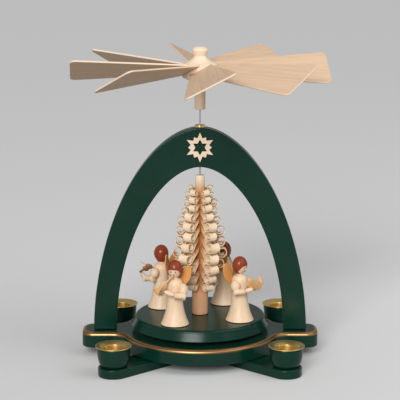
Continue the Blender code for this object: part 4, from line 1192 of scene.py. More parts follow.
# How much narrower the hub is at the foot of its straight side
HUB_TAPER = 0.0007
# The hub's shoulder: radius over the rim's, and height over the rim
HUB_SHOULDER = ((1.0, 0.0), (0.83, 0.0011), (0.62, 0.0026), (0.46, 0.0044))
# Where the shoulder meets the neck: radius over the neck's, and height over the rim
HUB_NECK = (1.1, 0.0058)
# The knob's swelling from neck to widest place: shares of its width and of its height
KNOB_SWELLING = ((0.04, 0.1), (0.4, 0.4), (0.8, 0.72), (0.96, 0.88))
KNOB_STEPS = 12


def slat_outline(sizes, grow=0.0):
    """A slat that widens from its slot to a tip with rounded corners."""
    root = sizes.slat_root_width / 2 + grow
    tip = sizes.slat_tip_width / 2 + grow
    taper = math.atan2(tip - root, sizes.slat_tip - sizes.slat_root)
    round_to = QUARTER_TURN + taper
    inset = sizes.slat_corner * math.tan(round_to / 2)
    centre = (sizes.slat_tip - sizes.slat_corner, tip - inset)
    side = arc(centre, sizes.slat_corner, 0, round_to, CORNER_STEPS) + [(sizes.slat_root - grow, root)]
    return side + [(x, -y) for x, y in reversed(side)]


def slat_place(sizes, index):
    turn = about_z(sizes.slat_phase + FULL_TURN * index / sizes.slat_count)
    return lift(sizes.slat_plane) @ turn @ Matrix.Rotation(sizes.slat_pitch, 4, "X")


def hub_profile(sizes):
    """From the sleeve's bore out under the hub, up its side, over the shoulder and round the knob."""
    cone_top = sizes.hub_rim + sizes.hub_cone
    widest = cone_top + sizes.knob_widest
    cap = HUB_TOP - widest
    turns = spread(0, QUARTER_TURN, KNOB_STEPS)
    knob = [(sizes.knob * math.cos(turn), widest + cap * math.sin(turn)) for turn in turns]
    swell = sizes.knob - sizes.neck
    throat = [(sizes.neck + swell * out, cone_top + sizes.knob_widest * up) for out, up in KNOB_SWELLING]
    shoulder = [(sizes.hub_radius * share, sizes.hub_rim + rise) for share, rise in HUB_SHOULDER]
    shoulder.append((sizes.neck * HUB_NECK[0], sizes.hub_rim + HUB_NECK[1]))
    bore = sizes.sleeve + SEAT
    foot = [(0, SLEEVE_TOP), (bore, SLEEVE_TOP), (bore, HUB_FOOT), (sizes.hub_foot, HUB_FOOT)]
    side = [(sizes.hub_radius - HUB_TAPER, sizes.hub_rim - sizes.hub_wall)]
    return foot + side + shoulder + throat + knob


class PYRAMID_OT_wheel(bpy.types.Operator):
    """The turned hub with its knob, the sleeve under it and the slats in its slanting slots"""

    bl_idname = "pyramid.wheel"
    bl_label = "Wheel of slats"

    def execute(self, context):
        sizes = context.scene.pyramid_rotor
        hub = turned("turned_hub", hub_profile(sizes), FINE_LATHE_STEPS)
        cutter = sawn("cutter", slat_outline(sizes, SEAT), sizes.slat_thickness + 2 * SEAT)
        slots = [placed(copied(cutter, f"slot_{i}"), slat_place(sizes, i)) for i in range(sizes.slat_count)]
        cut_away(hub, *slots, cutter)
        mark_grain(with_finish(hub, "bleached_wood"), "Z", GRAIN_SHIFTS["hub"])
        finish_piece(hub, ROTOR, "pale_wood", "vane_hub")
        dowel = [
            (SHAFT_BORE, SLEEVE_FOOT),
            (sizes.sleeve, SLEEVE_FOOT),
            (sizes.sleeve, SLEEVE_TOP),
            (SHAFT_BORE, SLEEVE_TOP),
            (SHAFT_BORE, SLEEVE_FOOT),
        ]
        sleeve = eased_turning("turned_sleeve", dowel, TURNED_EASE, shift=GRAIN_SHIFTS["sleeve"])
        finish_piece(with_finish(sleeve, "waxed_pale_wood"), ROTOR, "pale_wood", "shaft_sleeve")
        slat = eased(sawn("slat_pattern", slat_outline(sizes), sizes.slat_thickness), SLAT_EASE)
        # The slats' edges get the whiter wood, a painted highlight
        with_finish(flattened_shading(slat), "split_slat_wood", "bleached_wood")
        for face in slat.data.polygons:
            face.material_index = int(abs(face.normal.z) < FLAT_FACE)
        for index in range(sizes.slat_count):
            number = index + 1
            one = mark_grain(copied(slat, f"wheel_slat_{number}"), "X", GRAIN_SHIFTS["slat"] * number)
            placed(one, slat_place(sizes, index))
            finish_piece(one, ROTOR, "pale_wood", f"vane_blade_{number}")
        discard(slat)
        return {"FINISHED"}


CURL_STEPS = 36
STEM_STEPS = 8
ROW_OVERLAP = 1.08
# How far from the axis the painted warm shade between the curls reaches
SHADE_REACH = 0.009
# Where a curl comes out of the painted shade into the light, in its radii from its middle towards the stick
SHADE_END = 0.8
CURL_EASE = 1.3
# Depth of a shaving's root in the stick, over the core's radius
ROOT_DEPTH = 0.8
# How much narrower a shaving gets over the last part of its length
FRAY = 0.12
FRAY_START = 0.8
FRAY_SPAN = 0.2
# Grain along a shaving for each step in height, so that no two tiers look alike
TIER_SHIFT = 7
STICK_EASE = 0.0004
STICK_EASE_ANGLE = math.radians(60)
STICK_STEPS = 48
# Strength of the painted shade on the stick's axis, and how much it fades out to the foot's radius
STICK_SHADE = 1.05
STICK_SHADE_FADE = 0.48
# How far under the topmost curls the bare end of the stick begins
BARE_END = 0.003
# Height of the stick as a share of the whole, with its radius there between the core's and the foot's
TRUNK_LEVELS = (
    *((0.0, 1.0), (0.02, 1.0), (0.155, 0.98), (0.185, 0.3), (0.25, 0.12)),
    *((0.84, 0.0), (0.875, 0.36), (0.99, 0.24), (1.0, 0.2)),
)
# How much one curl differs from the next: degrees round the stick and about its root, and shares of its size
LIVELY_SEED = 11
LIVELY_TURN = 3.0
LIVELY_LEAN = 6.0
LIVELY_SIZE = (-0.12, 0.04)


def trunk_radius(sizes, height):
    """Radius of the tree's stick at a height."""
    share = (height - TREE_FOOT) / (TREE_TOP - TREE_FOOT)
    for (low, below), (high, above) in zip(TRUNK_LEVELS, TRUNK_LEVELS[1:]):
        if share <= high:
            fullness = below + (above - below) * (share - low) / (high - low)
            return sizes.trunk_foot * (sizes.core + (1 - sizes.core) * fullness)
    return sizes.trunk_foot * sizes.core


def between(sizes, top, widest, foot, tier):
    """A size that runs evenly from the top tier to the widest one, and from there to the lowest."""
    if tier <= sizes.widest_tier:
        return top + (widest - top) * tier / sizes.widest_tier
    return widest + (foot - widest) * (tier - sizes.widest_tier) / (sizes.tiers - 1 - sizes.widest_tier)


def curl_tiers(sizes):
    """Height, radius and reach of the curls in each tier, from the top down."""
    tiers = []
    height = TREE_TOP - sizes.top_margin
    for tier in range(sizes.tiers):
        radius = between(sizes, sizes.top_radius, sizes.widest_radius, sizes.foot_radius, tier)
        reach = between(sizes, sizes.top_reach, sizes.widest_reach, sizes.foot_reach, tier)
        if tiers:
            height -= tiers[-1][1] + radius + sizes.tier_gap
        tiers.append((height, radius, reach))
    return tiers


def inner_tiers(sizes, tiers):
    """Height, radius and reach of the short shavings that stand behind the curls, between their tiers."""
    inner = []
    for (above, _, _), (below, radius, reach) in zip(tiers, tiers[1:]):
        inner.append(((above + below) / 2, radius * sizes.inner_radius, reach * sizes.inner_reach))
    return inner


def curl_line(sizes, height, radius, reach, roll):
    """(out, up) points of one shaving: down and out of the stick, round below, up, over and into a roll."""
    spiral = []
    for share in spread(0, 1, CURL_STEPS):
        turn = sizes.curl_start + roll * share
        size = radius * (1 - (1 - sizes.curl_end) * share**CURL_EASE)
        spiral.append((reach + size * math.cos(turn), height + size * math.sin(turn)))
    out, up = spiral[0]
    root = sizes.trunk_foot * sizes.core * ROOT_DEPTH
    shares = spread(0, 1, STEM_STEPS)[:-1]
    stem = [(root + (out - root) * share, up + (out - root) * (1 - share)) for share in shares]
    return stem + spiral


def curled_shaving(sizes, height, radius, reach, roll):
    """One shaving, as wide at its root as its row has room, drawn as two rails with the strip bridged between."""
    line = curl_line(sizes, height, radius, reach, roll)
    full = sizes.width_ratio * radius / 2
    rails = ([], [])
    for step, (out, up) in enumerate(line):
        room = out * math.tan(math.pi / sizes.rows) * ROW_OVERLAP
        half = min(full, room) if step < STEM_STEPS + 2 else full
        frayed = 1 - FRAY * max(0.0, step / len(line) - FRAY_START) / FRAY_SPAN
        for side, rail in zip((-1, 1), rails):
            rail.append((out, side * half * frayed, up))
    shaving = start_line("shaving_pattern", rails[0])
    draw_line(rails[1])
    bpy.ops.mesh.select_all(action="SELECT")
    bpy.ops.mesh.bridge_edge_loops(number_cuts=1)
    bpy.ops.mesh.select_all(action="SELECT")
    bpy.ops.mesh.normals_make_consistent(inside=False)
    bpy.ops.object.mode_set(mode="OBJECT")
    thickened(shaving, sizes.shaving)
    field = shaving.data.attributes.new("grain", "FLOAT_VECTOR", "POINT")
    for point, vertex in zip(field.data, shaving.data.vertices):
        turn = math.atan2(vertex.co.z - height, vertex.co.x - reach)
        point.vector = (radius * turn + TIER_SHIFT * height, vertex.co.y + height, vertex.co.x)
    # Painted shade, deepest at the stick and gone where the curl comes out into the open
    inner = sizes.trunk_foot * sizes.core
    open_air = max(reach - radius * SHADE_END, SHADE_REACH)
    return mark_painted_shade(shaving, lambda co: 1 - (co.x - inner) / (open_air - inner))


def mark_painted_shade(piece, depth):
    """Keeps how much painted shade each point gets, from 0 in the open to 1 on the stick, by how deep it lies between
    the curls.
    """
    field = piece.data.attributes.new("depth", "FLOAT", "POINT")
    for point, vertex in zip(field.data, piece.data.vertices):
        point.value = min(1.0, max(0.0, depth(vertex.co)))
    return piece


def fluted_stick(sizes):
    """The tree's stick, hollowed a little along the rows where the shavings were cut."""
    outline = []
    for turn in spread(0, FULL_TURN, STICK_STEPS)[:-1]:
        radius = sizes.trunk_foot * (1 - sizes.flute * (0.5 + 0.5 * math.cos(sizes.rows * turn)))
        outline.append((radius * math.cos(turn), radius * math.sin(turn), TREE_FOOT))
    stick = start_line("tree_stick", outline)
    bpy.ops.mesh.edge_face_add()
    rise = TREE_TOP - TREE_FOOT
    for (low, _), (high, _) in zip(TRUNK_LEVELS, TRUNK_LEVELS[1:]):
        narrowing = trunk_radius(sizes, TREE_FOOT + high * rise) / trunk_radius(sizes, TREE_FOOT + low * rise)
        bpy.ops.mesh.extrude_region_move(TRANSFORM_OT_translate={"value": (0, 0, (high - low) * rise)})
        bpy.ops.transform.resize(value=(narrowing, narrowing, 1), center_override=(0, 0, 0))
    close_skin()
    eased(stick, STICK_EASE, segments=2, edge_angle=STICK_EASE_ANGLE)
    mark_grain(stick, "Z", GRAIN_SHIFTS["stick"])
    bare_from = TREE_TOP - sizes.top_margin - BARE_END

    # Painted shade on the stick, strongest at its axis and none on its bare end
    def depth(co):
        return 0.0 if co.z > bare_from else STICK_SHADE - co.xy.length / sizes.trunk_foot * STICK_SHADE_FADE

    return mark_painted_shade(stick, depth)


def row_bearing(sizes, row):
    """Direction of a row of curls, with the gap at the front a little wider than the others."""
    bearing = FULL_TURN * row / sizes.rows
    towards_front = max(0.0, -math.sin(bearing))
    return bearing + math.copysign(sizes.front_valley * towards_front, math.cos(bearing))


class PYRAMID_OT_tree(bpy.types.Operator):
    """The stick with its rows of shaved curls"""

    bl_idname = "pyramid.tree"
    bl_label = "Shaved tree"

    def execute(self, context):
        sizes = context.scene.pyramid_tree
        chance = random.Random(LIVELY_SEED)
        pieces = [fluted_stick(sizes)]
        tiers = curl_tiers(sizes)
        shavings = [(*tier, sizes.curl_turn) for tier in tiers]
        shavings += [(*tier, sizes.inner_turn) for tier in inner_tiers(sizes, tiers)]
        for height, radius, reach, roll in shavings:
            shaving = curled_shaving(sizes, height, radius, reach, roll)
            for row in range(sizes.rows):
                wobble = sizes.liveliness * math.radians(chance.uniform(-LIVELY_TURN, LIVELY_TURN))
                lean = sizes.liveliness * math.radians(chance.uniform(-LIVELY_LEAN, LIVELY_LEAN))
                size = 1 + sizes.liveliness * chance.uniform(*LIVELY_SIZE)
                drop = sizes.stagger if row % (sizes.rows // 2) else 0.0
                hinge = Matrix.Translation((sizes.trunk_foot * sizes.core, 0, height + radius / 2))
                turn = about_z(row_bearing(sizes, row) + wobble)
                live = hinge @ Matrix.Rotation(lean, 4, "X") @ Matrix.Scale(size, 4) @ hinge.inverted()
                pieces.append(placed(copied(shaving, "shaving"), lift(-drop) @ turn @ live))
            discard(shaving)
        tree = with_finish(joined("shaved_tree", *pieces), "shaved_wood")
        finish_piece(tree, ROTOR, "pale_wood", "tree")
        return {"FINISHED"}


ANGEL_BEARINGS = {"horn": 238, "songbook": 328, "flute": 58, "violin": 148}
# Elbow, wrist and hand of each arm: forward, to the left, and above the shoulder
ARM_POSES = {
    "horn": {
        "right": ((0.0042, -0.0122, -0.0085), (0.0095, -0.0092, -0.005), (0.0125, -0.0056, -0.0024)),
        "left": ((0.004, 0.0116, -0.0092), (0.0096, 0.0052, -0.008), (0.0134, -0.0014, -0.0048)),
    },
    "songbook": {
        "right": ((0.003, -0.0118, -0.0085), (0.011, -0.0088, -0.0072), (0.0158, -0.0058, -0.0052)),
        "left": ((0.003, 0.0118, -0.0085), (0.011, 0.0088, -0.0072), (0.0158, 0.0058, -0.0052)),
    },
    "flute": {
        "right": ((0.0042, -0.012, -0.009), (0.0112, -0.0072, -0.0062), (0.0152, -0.0026, -0.003)),
        "left": ((0.0042, 0.012, -0.0085), (0.0095, 0.0076, -0.0032), (0.0124, 0.0026, 0.0012)),
    },
    "violin": {
        "right": ((0.003, -0.0125, -0.0092), (0.0062, -0.011, -0.0076), (0.0088, -0.0088, -0.0056)),
        "left": ((0.0024, 0.0112, -0.0084), (0.0124, 0.0082, -0.0098), (0.0182, 0.0048, -0.0072)),
    },
}
# How far a figure's head is turned to its left
HEAD_TURNS = {"horn": 18, "songbook": 0, "flute": 0, "violin": 0}
ROBE_STEPS = 56
HEAD_STEPS = 48
HEM_LIP = 0.0009
# Where the hem's lip starts to round, as a share of the lip
HEM_ROUND = 0.3
SKIRT_FLARE = 2.5
# Sets the skirt's rings closer towards the hem
SKIRT_CROWDING = 1.2
NECK_TOP = 0.0434
LIP_GAP = 0.0012
LIP_DROP = 0.0045
# How far over the head's middle the fringe ends, and how far forward the hair at the sides does
FRINGE = 0.0006
FRINGE_SQUARE = 0.55
HAIR_FRONT = 0.22
HAIR_EASE = 0.00018
HAIR_EASE_ANGLE = math.radians(40)
# How far the hair reaches into the head
HAIR_LAP = 0.0001
FACE_WIDTH = 0.92
# Radius and height of the dabs of paint and of the nose, and their places from the head's middle
EYE_DAB = (0.00058, 0.00016)
EYE_LEFT = 0.0021
EYE_DROP = 0.0014
MOUTH_DAB = (0.0007, 0.00018)
NOSE_DAB = (0.0007, 0.0007)
NOSE_DROP = 0.0028
NOSE_SINK = 0.0002
DAB_STEPS = 16
# How much narrower a wing is towards its foot
WING_NARROWING = 0.35
WING_EASE = 0.0004
WING_STEPS = 56


def angel_spot(kind):
    """Where a figure stands on the turntable, facing out."""
    ring = bpy.context.scene.pyramid_angels.ring
    return about_z(math.radians(ANGEL_BEARINGS[kind])) @ Matrix.Translation((ring, 0, ROBE_FOOT))


def held(sizes, forward, left, above_shoulder):
    """A place before a figure that faces +X with its left hand at +Y."""
    return Vector((forward, left, sizes.shoulder_height + above_shoulder))


def head_turn(kind):
    return about_z(math.radians(HEAD_TURNS[kind]))


def lips(sizes, kind):
    """Just off the face, where a mouthpiece is held."""
    face = sizes.head * math.sqrt(1 - (LIP_DROP / sizes.head_half) ** 2)
    return head_turn(kind) @ Vector((face + LIP_GAP, 0, sizes.head_height - LIP_DROP))


def on_head(sizes, left, down, sink=0.0):
    """A place on the front of the head, this far to the left and below its middle, and the way it faces."""
    level = math.sqrt(1 - (down / sizes.head_half) ** 2)
    forward = math.sqrt((sizes.head * level) ** 2 - left**2)
    spot = Vector((forward, left, sizes.head_height - down))
    facing = Vector((forward, left, -down * (sizes.head / sizes.head_half) ** 2)).normalized()
    return spot - facing * sink, facing


def robe_profile(sizes):
    """A bell skirt with a small hem lip, a waist, a round chest and sloping shoulders up to the neck."""
    skirt = []
    for share in spread(0, 1, steps=18):
        height = HEM_LIP + (sizes.waist_height - HEM_LIP) * share**SKIRT_CROWDING
        flare = (1 - height / sizes.waist_height) ** SKIRT_FLARE
        skirt.append((sizes.waist + (sizes.hem - sizes.waist) * flare, height))
    shoulders = []
    for turn in spread(0, QUARTER_TURN, steps=10):
        across = sizes.neck + (sizes.chest - sizes.neck) * math.cos(turn)
        shoulders.append((across, sizes.chest_height + sizes.shoulder_rise * math.sin(turn)))
    hem = [(0, 0), (sizes.hem - HEM_LIP, 0), (sizes.hem - HEM_LIP * HEM_ROUND, HEM_LIP * HEM_ROUND)]
    return hem + skirt + shoulders + [(sizes.neck, NECK_TOP), (0, NECK_TOP)]


def head_profile(sizes, grow=0.0):
    """An egg that sits on the neck."""
    turns = spread(-QUARTER_TURN, QUARTER_TURN, steps=28)
    half = sizes.head_half + grow
    return [((sizes.head + grow) * math.cos(turn), sizes.head_height + half * math.sin(turn)) for turn in turns]


def hair_cap(sizes):
    """A thin shell of hair round the head, cut out in an arch for the face."""
    hair = turned("hair_pattern", head_profile(sizes, sizes.hair), HEAD_STEPS)
    width, depth = sizes.head * FACE_WIDTH, sizes.head_half
    top = sizes.head_height + FRINGE
    outline = arc((0, 0), 1.0, 0, math.pi, steps=28)
    squared = [(math.copysign(abs(x) ** FRINGE_SQUARE, x), abs(y) ** FRINGE_SQUARE) for x, y in outline]
    window = [(width * x, top - depth + depth * y) for x, y in squared]
    window += [(-width, top - 3 * depth), (width, top - 3 * depth)]
    face = sawn("cutter", window, 2 * sizes.head)
    placed(face, Matrix.Translation((sizes.head * (1 + HAIR_FRONT), 0, 0)) @ FACING_OUT)
    inside = turned("cutter_inside", head_profile(sizes, -HAIR_LAP), HEAD_STEPS)
    cut_away(hair, face, inside)
    return without_slivers(eased(hair, HAIR_EASE, segments=2, edge_angle=HAIR_EASE_ANGLE))


def dab(name, radius, height, spot, normal):
    """A small domed touch of paint that stands on a surface."""
    turns = spread(0, QUARTER_TURN, steps=4)
    dome = [(radius * math.cos(turn), height * math.sin(turn)) for turn in turns]
    touch = turned(name, [(0, -height)] + [(radius, -height)] + dome, DAB_STEPS)
    return placed(touch, along(spot, spot + normal))


def face_details(sizes):
    """Two eyes and a mouth, as dabs of paint, and a small nose of wood."""
    eyes = [dab("eye", *EYE_DAB, *on_head(sizes, EYE_LEFT * side, EYE_DROP)) for side in (-1, 1)]
    eyes = joined("eyes_pattern", *eyes)
    mouth = dab("mouth_pattern", *MOUTH_DAB, *on_head(sizes, 0, LIP_DROP))
    nose = dab("nose_pattern", *NOSE_DAB, *on_head(sizes, 0, NOSE_DROP, NOSE_SINK))
    return eyes, mouth, nose


def wing_pair(sizes):
    """Two thin leaves that meet behind the back and sweep away from it."""
    axis = Vector((math.sin(sizes.wing_tilt), math.cos(sizes.wing_tilt)))
    across = Vector((axis.y, -axis.x))
    outline = []
    for turn in spread(0, FULL_TURN, WING_STEPS)[:-1]:
        narrow = 1 - WING_NARROWING * max(0.0, -math.cos(turn))
        flat = axis * sizes.wing_length * math.cos(turn) + across * sizes.wing_width * narrow * math.sin(turn)
        outline.append((flat.x + sizes.wing_out, flat.y + sizes.wing_height))
    leaf = eased(sawn("wing_leaf", outline, sizes.wing_thickness), WING_EASE)
    mark_grain(leaf, "Y", GRAIN_SHIFTS["wing"])
    back = Matrix.Translation((-sizes.wing_back - sizes.wing_thickness / 2, 0, 0))
    placed(leaf, back @ about_z(math.atan(sizes.wing_sweep)) @ FACING_OUT)
    bpy.ops.object.mode_set(mode="EDIT")
    bpy.ops.mesh.select_all(action="SELECT")
    bpy.ops.mesh.bisect(plane_co=(0, 0, 0), plane_no=(0, 1, 0), clear_inner=True, threshold=SAME_POINT)
    close_skin()
    pair = joined("wings_pattern", leaf, mirrored(leaf, "wing_leaf_right"))
    bpy.ops.object.mode_set(mode="EDIT")
    close_skin(SLIVER)
    return flattened_shading(pair)


class PYRAMID_OT_angel_bodies(bpy.types.Operator):
    """Robes, heads, hair, faces and wings of the four figures, each modelled once and copied"""

    bl_idname = "pyramid.angel_bodies"
    bl_label = "Figures"

    def execute(self, context):
        sizes = context.scene.pyramid_angels
        robe = with_finish(turned("robe_pattern", robe_profile(sizes), ROBE_STEPS), "waxed_pale_wood")
        head = with_finish(turned("head_pattern", head_profile(sizes), HEAD_STEPS), "tinted_face_wood")
        hair = with_finish(hair_cap(sizes), "red_brown_hair_paint")
        wings = with_finish(wing_pair(sizes), "amber_wing_wood")
        eyes, mouth, nose = face_details(sizes)
        with_finish(eyes, "dark_eye_paint")
        with_finish(mouth, "red_mouth_paint")
        for index, kind in enumerate(ANGEL_BEARINGS):
            spot = angel_spot(kind)
            looking = spot @ head_turn(kind)
            shift = GRAIN_SHIFTS["figure"] * (index + 1)
            name = f"{kind}_player"
            one_robe = placed(mark_grain(copied(robe, f"{name}_robe"), "Z", shift), spot)
            finish_piece(one_robe, ROTOR, "pale_wood", f"{kind}_angel_robe")
            face = joined(f"{name}_head", copied(head, "skull"), copied(nose, "nose"))
            placed(mark_grain(face, "Z", shift + GRAIN_SHIFTS["head"]), looking)
            finish_piece(face, ROTOR, "pale_wood", f"{kind}_angel_head")
            for part, pattern in (("hair", hair), ("eyes", eyes), ("mouth", mouth)):
                painted_part = placed(copied(pattern, f"{name}_{part}"), looking)
                finish_piece(painted_part, ROTOR, "pale_wood")
            pair = placed(copied(wings, f"{name}_wings"), spot)
            finish_piece(pair, ROTOR, "pale_wood", f"{kind}_angel_wings")
        discard(robe, head, hair, wings, eyes, mouth, nose)
        return {"FINISHED"}


# How far a puffed sleeve starts before the shoulder joint and ends before the elbow
PUFF_LAP = 0.0014
PUFF_SHORT = 0.0004
# A forearm's radius over its plain one, with the place from the elbow, then back from the wrist
SLEEVE_ELBOW = ((0, -0.0024), (1, -0.0018), (1.38, -0.0012), (1.38, -0.0004), (1.06, 0.0))
SLEEVE_WRIST = ((1.02, 0.0015), (1.24, 0.0011), (1.24, 0.0003), (0.9, 0.0), (0, 0.0))
SLEEVE_MIDDLE = 0.6
# How far a fist starts before the wrist and ends beyond the hand's place
FIST_LAP = 0.0006
FIST_BEYOND = 0.0013


def oval(radius, low, high, steps=14):
    """Profile of a turned ball that is stretched from one height to another."""
    middle, half = (low + high) / 2, (high - low) / 2
    turns = spread(-QUARTER_TURN, QUARTER_TURN, steps)
    return [(radius * math.cos(turn), middle + half * math.sin(turn)) for turn in turns]


def limb(name, profile, start, end, steps):
    """A turned piece of an arm, laid from one joint to the next."""
    piece = mark_grain(turned(name, profile, steps), "Z", (end - start).length)
    return placed(piece, along(start, end))


def arm(sizes, name, shoulder, elbow, wrist, hand):
    """A puffed sleeve, a ringed and cuffed forearm and a closed hand."""
    upper, lower, palm = (elbow - shoulder).length, (wrist - elbow).length, (hand - wrist).length
    puff = limb("puff", oval(sizes.puff, -PUFF_LAP, upper - PUFF_SHORT), shoulder, elbow, steps=32)
    thin = sizes.forearm
    sleeve = [(thin * size, place) for size, place in SLEEVE_ELBOW] + [(thin, lower * SLEEVE_MIDDLE)]
    sleeve += [(thin * size, lower - back) for size, back in SLEEVE_WRIST]
    forearm = limb("forearm", sleeve, elbow, wrist, steps=28)
    fist = limb("fist", oval(sizes.hand, -FIST_LAP, palm + FIST_BEYOND), wrist, hand, steps=20)
    return joined(name, puff, forearm, fist)


class PYRAMID_OT_angel_arms(bpy.types.Operator):
    """The arms of the four figures, each bent to what it holds"""

    bl_idname = "pyramid.angel_arms"
    bl_label = "Arms"

    def execute(self, context):
        sizes = context.scene.pyramid_angels
        for kind, poses in ARM_POSES.items():
            for side, joints in poses.items():
                out = sizes.shoulder_out if side == "left" else -sizes.shoulder_out
                shoulder = held(sizes, 0, out, 0)
                elbow, wrist, hand = (held(sizes, *joint) for joint in joints)
                bent = arm(sizes, f"{kind}_player_arm_{side}", shoulder, elbow, wrist, hand)
                placed(with_finish(bent, "waxed_pale_wood"), angel_spot(kind))
                finish_piece(bent, ROTOR, "pale_wood", f"{kind}_angel_arm_{side}")
        return {"FINISHED"}


# What is turned for the figures: places as shares of the length, with the radius there
HORN_TUBE = ((0, 0.0011), (0.04, 0.0012), (0.07, 0.0008), (0.4, 0.00095), (0.66, 0.0012), (0.8, 0.0016))
HORN_BELL = ((0.88, 0.0023), (0.94, 0.0032), (0.98, 0.0041), (1.0, 0.0046), (1.005, 0.0045))
HORN_INSIDE = ((0.98, 0.0036), (0.93, 0.0025), (0.86, 0.0015), (0.78, 0.0007))
HORN_FLOOR = 0.77
FLUTE_TUBE = ((0, 0.0006), (0.06, 0.0009), (0.14, 0.0012), (0.16, 0.0012), (0.18, 0.00095), (0.84, 0.00105))
FLUTE_END = ((0.86, 0.0013), (0.89, 0.0013), (0.91, 0.0011), (0.97, 0.0014), (1.0, 0.0014), (1.0, 0.0007))
FLUTE_FLOOR = 0.93
BOW_STICK = ((0, 0.0005), (0.01, 0.0008), (0.08, 0.0008), (0.1, 0.0006), (0.97, 0.0004), (1.0, 0.0002))
# Far ends of the horn and the flute: forward, to the left, and above the shoulder
HORN_MOUTH = (0.0185, -0.008, -0.0055)
FLUTE_FOOT = (0.0185, 0, -0.0067)
FINGER_HOLES = (0.34, 0.44, 0.54, 0.64, 0.74)
FINGER_HOLE = 0.00028
# Where a finger hole's cutter starts and ends, from the flute's axis
FINGER_HOLE_SPAN = (0.0006, 0.002)


def turned_rod(name, whole, shape, floor, steps):
    """A turned rod of this length. Its profile ends on the axis, at the floor of its hollow."""
    outline = [(radius, share * whole) for share, radius in shape]
    return turned(name, [(0, 0)] + outline + [(0, floor * whole)], steps)


class PYRAMID_OT_horn(bpy.types.Operator):
    """A straight turned horn with a hollow bell"""

    bl_idname = "pyramid.horn"
    bl_label = "Horn"

    def execute(self, context):
        sizes = context.scene.pyramid_angels
        start, end = lips(sizes, "horn"), held(sizes, *HORN_MOUTH)
        shape = HORN_TUBE + HORN_BELL + HORN_INSIDE
        horn = turned_rod("horn_player_horn", (end - start).length, shape, HORN_FLOOR, steps=32)
        mark_grain(with_finish(horn, "honey_wood"), "Z", GRAIN_SHIFTS["horn"])
        placed(horn, angel_spot("horn") @ along(start, end))
        finish_piece(horn, ROTOR, "pale_wood", "horn_angel_horn")
        return {"FINISHED"}


class PYRAMID_OT_flute(bpy.types.Operator):
    """A turned recorder with a beak, a ringed foot and finger holes"""

    bl_idname = "pyramid.flute"
    bl_label = "Flute"

    def execute(self, context):
        sizes = context.scene.pyramid_angels
        start, end = lips(sizes, "flute"), held(sizes, *FLUTE_FOOT)
        whole = (end - start).length
        flute = turned_rod("flute_player_flute", whole, FLUTE_TUBE + FLUTE_END, FLUTE_FLOOR, steps=28)
        sideways = Matrix.Rotation(QUARTER_TURN, 4, "Y")
        holes = []
        for share in FINGER_HOLES:
            hole = rod_cutter(FINGER_HOLE, *FINGER_HOLE_SPAN)
            holes.append(placed(hole, lift(share * whole) @ sideways))
        without_slivers(cut_away(flute, *holes))
        mark_grain(with_finish(flute, "waxed_pale_wood"), "Z", GRAIN_SHIFTS["flute"])
        placed(flute, angel_spot("flute") @ along(start, end))
        finish_piece(flute, ROTOR, "pale_wood", "flute_angel_flute")
        return {"FINISHED"}


BOOK_HEIGHT = 0.0085
BOOK_BOARD = 0.0014
BOOK_REACH = 0.0195
BOOK_HALF_WIDTH = 0.0088
BOOK_LEAF_DEPTH = 0.0095
BOOK_FOOT = 0.0302
BOOK_LEAN = math.radians(30)
COVER_EASE = 0.0002
PAGE_EASE = 0.00012
# How much smaller the pages are than the boards
PAGE_TRIM = 0.0006
# The pages' fold: half its width, and its two depths over the boards' thickness
FOLD_HALF_WIDTH = 0.0006
FOLD_SIDE = 1.6
FOLD_MIDDLE = 1.9


class PYRAMID_OT_songbook(bpy.types.Operator):
    """A songbook of two boards opened to a V, with its pages between them"""

    bl_idname = "pyramid.songbook"
    bl_label = "Songbook"

    def execute(self, context):
        slope = math.hypot(BOOK_LEAF_DEPTH, BOOK_HALF_WIDTH)
        thick = BOOK_BOARD / 2 * slope / BOOK_HALF_WIDTH
        back = BOOK_REACH - BOOK_LEAF_DEPTH
        far = [(back + thick, BOOK_HALF_WIDTH), (BOOK_REACH + thick, 0), (back + thick, -BOOK_HALF_WIDTH)]
        fold = [(x - thick, y) for x, y in reversed(far)]
        middle = lift(BOOK_FOOT + BOOK_HEIGHT / 2)
        cover = placed(eased(sawn("cover", far + fold, BOOK_HEIGHT), COVER_EASE, segments=2), middle)
        page_side, page_half = back + PAGE_TRIM, BOOK_HALF_WIDTH - PAGE_TRIM
        page_far = [(page_side, page_half), (BOOK_REACH, 0), (page_side, -page_half)]
        page_near = [(x - thick, y) for x, y in reversed(page_far)]
        fold_side = BOOK_REACH - FOLD_SIDE * thick
        page_near[1:2] = [
            (fold_side, -FOLD_HALF_WIDTH),
            (BOOK_REACH - FOLD_MIDDLE * thick, 0),
            (fold_side, FOLD_HALF_WIDTH),
        ]
        page_height = BOOK_HEIGHT - 2 * PAGE_TRIM
        pages = eased(sawn("pages", page_far + page_near, page_height), PAGE_EASE, segments=2)
        placed(pages, middle)
        for piece, name in ((cover, "honey_wood"), (pages, "songbook_page_wood")):
            mark_grain(with_finish(piece, name), "Z", GRAIN_SHIFTS["book"])
        foot = Matrix.Translation((BOOK_REACH, 0, BOOK_FOOT))
        lean = foot @ Matrix.Rotation(BOOK_LEAN, 4, "Y") @ foot.inverted()
        book = placed(joined("songbook_player_book", cover, pages), angel_spot("songbook") @ lean)
        finish_piece(book, ROTOR, "pale_wood", "songbook_angel_songbook")
        return {"FINISHED"}


VIOLIN_BODY = 0.0092
VIOLIN_NECK = 0.0061
VIOLIN_HALF_WIDTH = 0.0036
VIOLIN_DEPTH = 0.0024
VIOLIN_EASE = 0.0004
VIOLIN_EASE_ANGLE = math.radians(50)
VIOLIN_CHIN = (0.0087, 0.0045, 0.0387)
VIOLIN_DIP = math.radians(35)
VIOLIN_ROLL = math.radians(35)
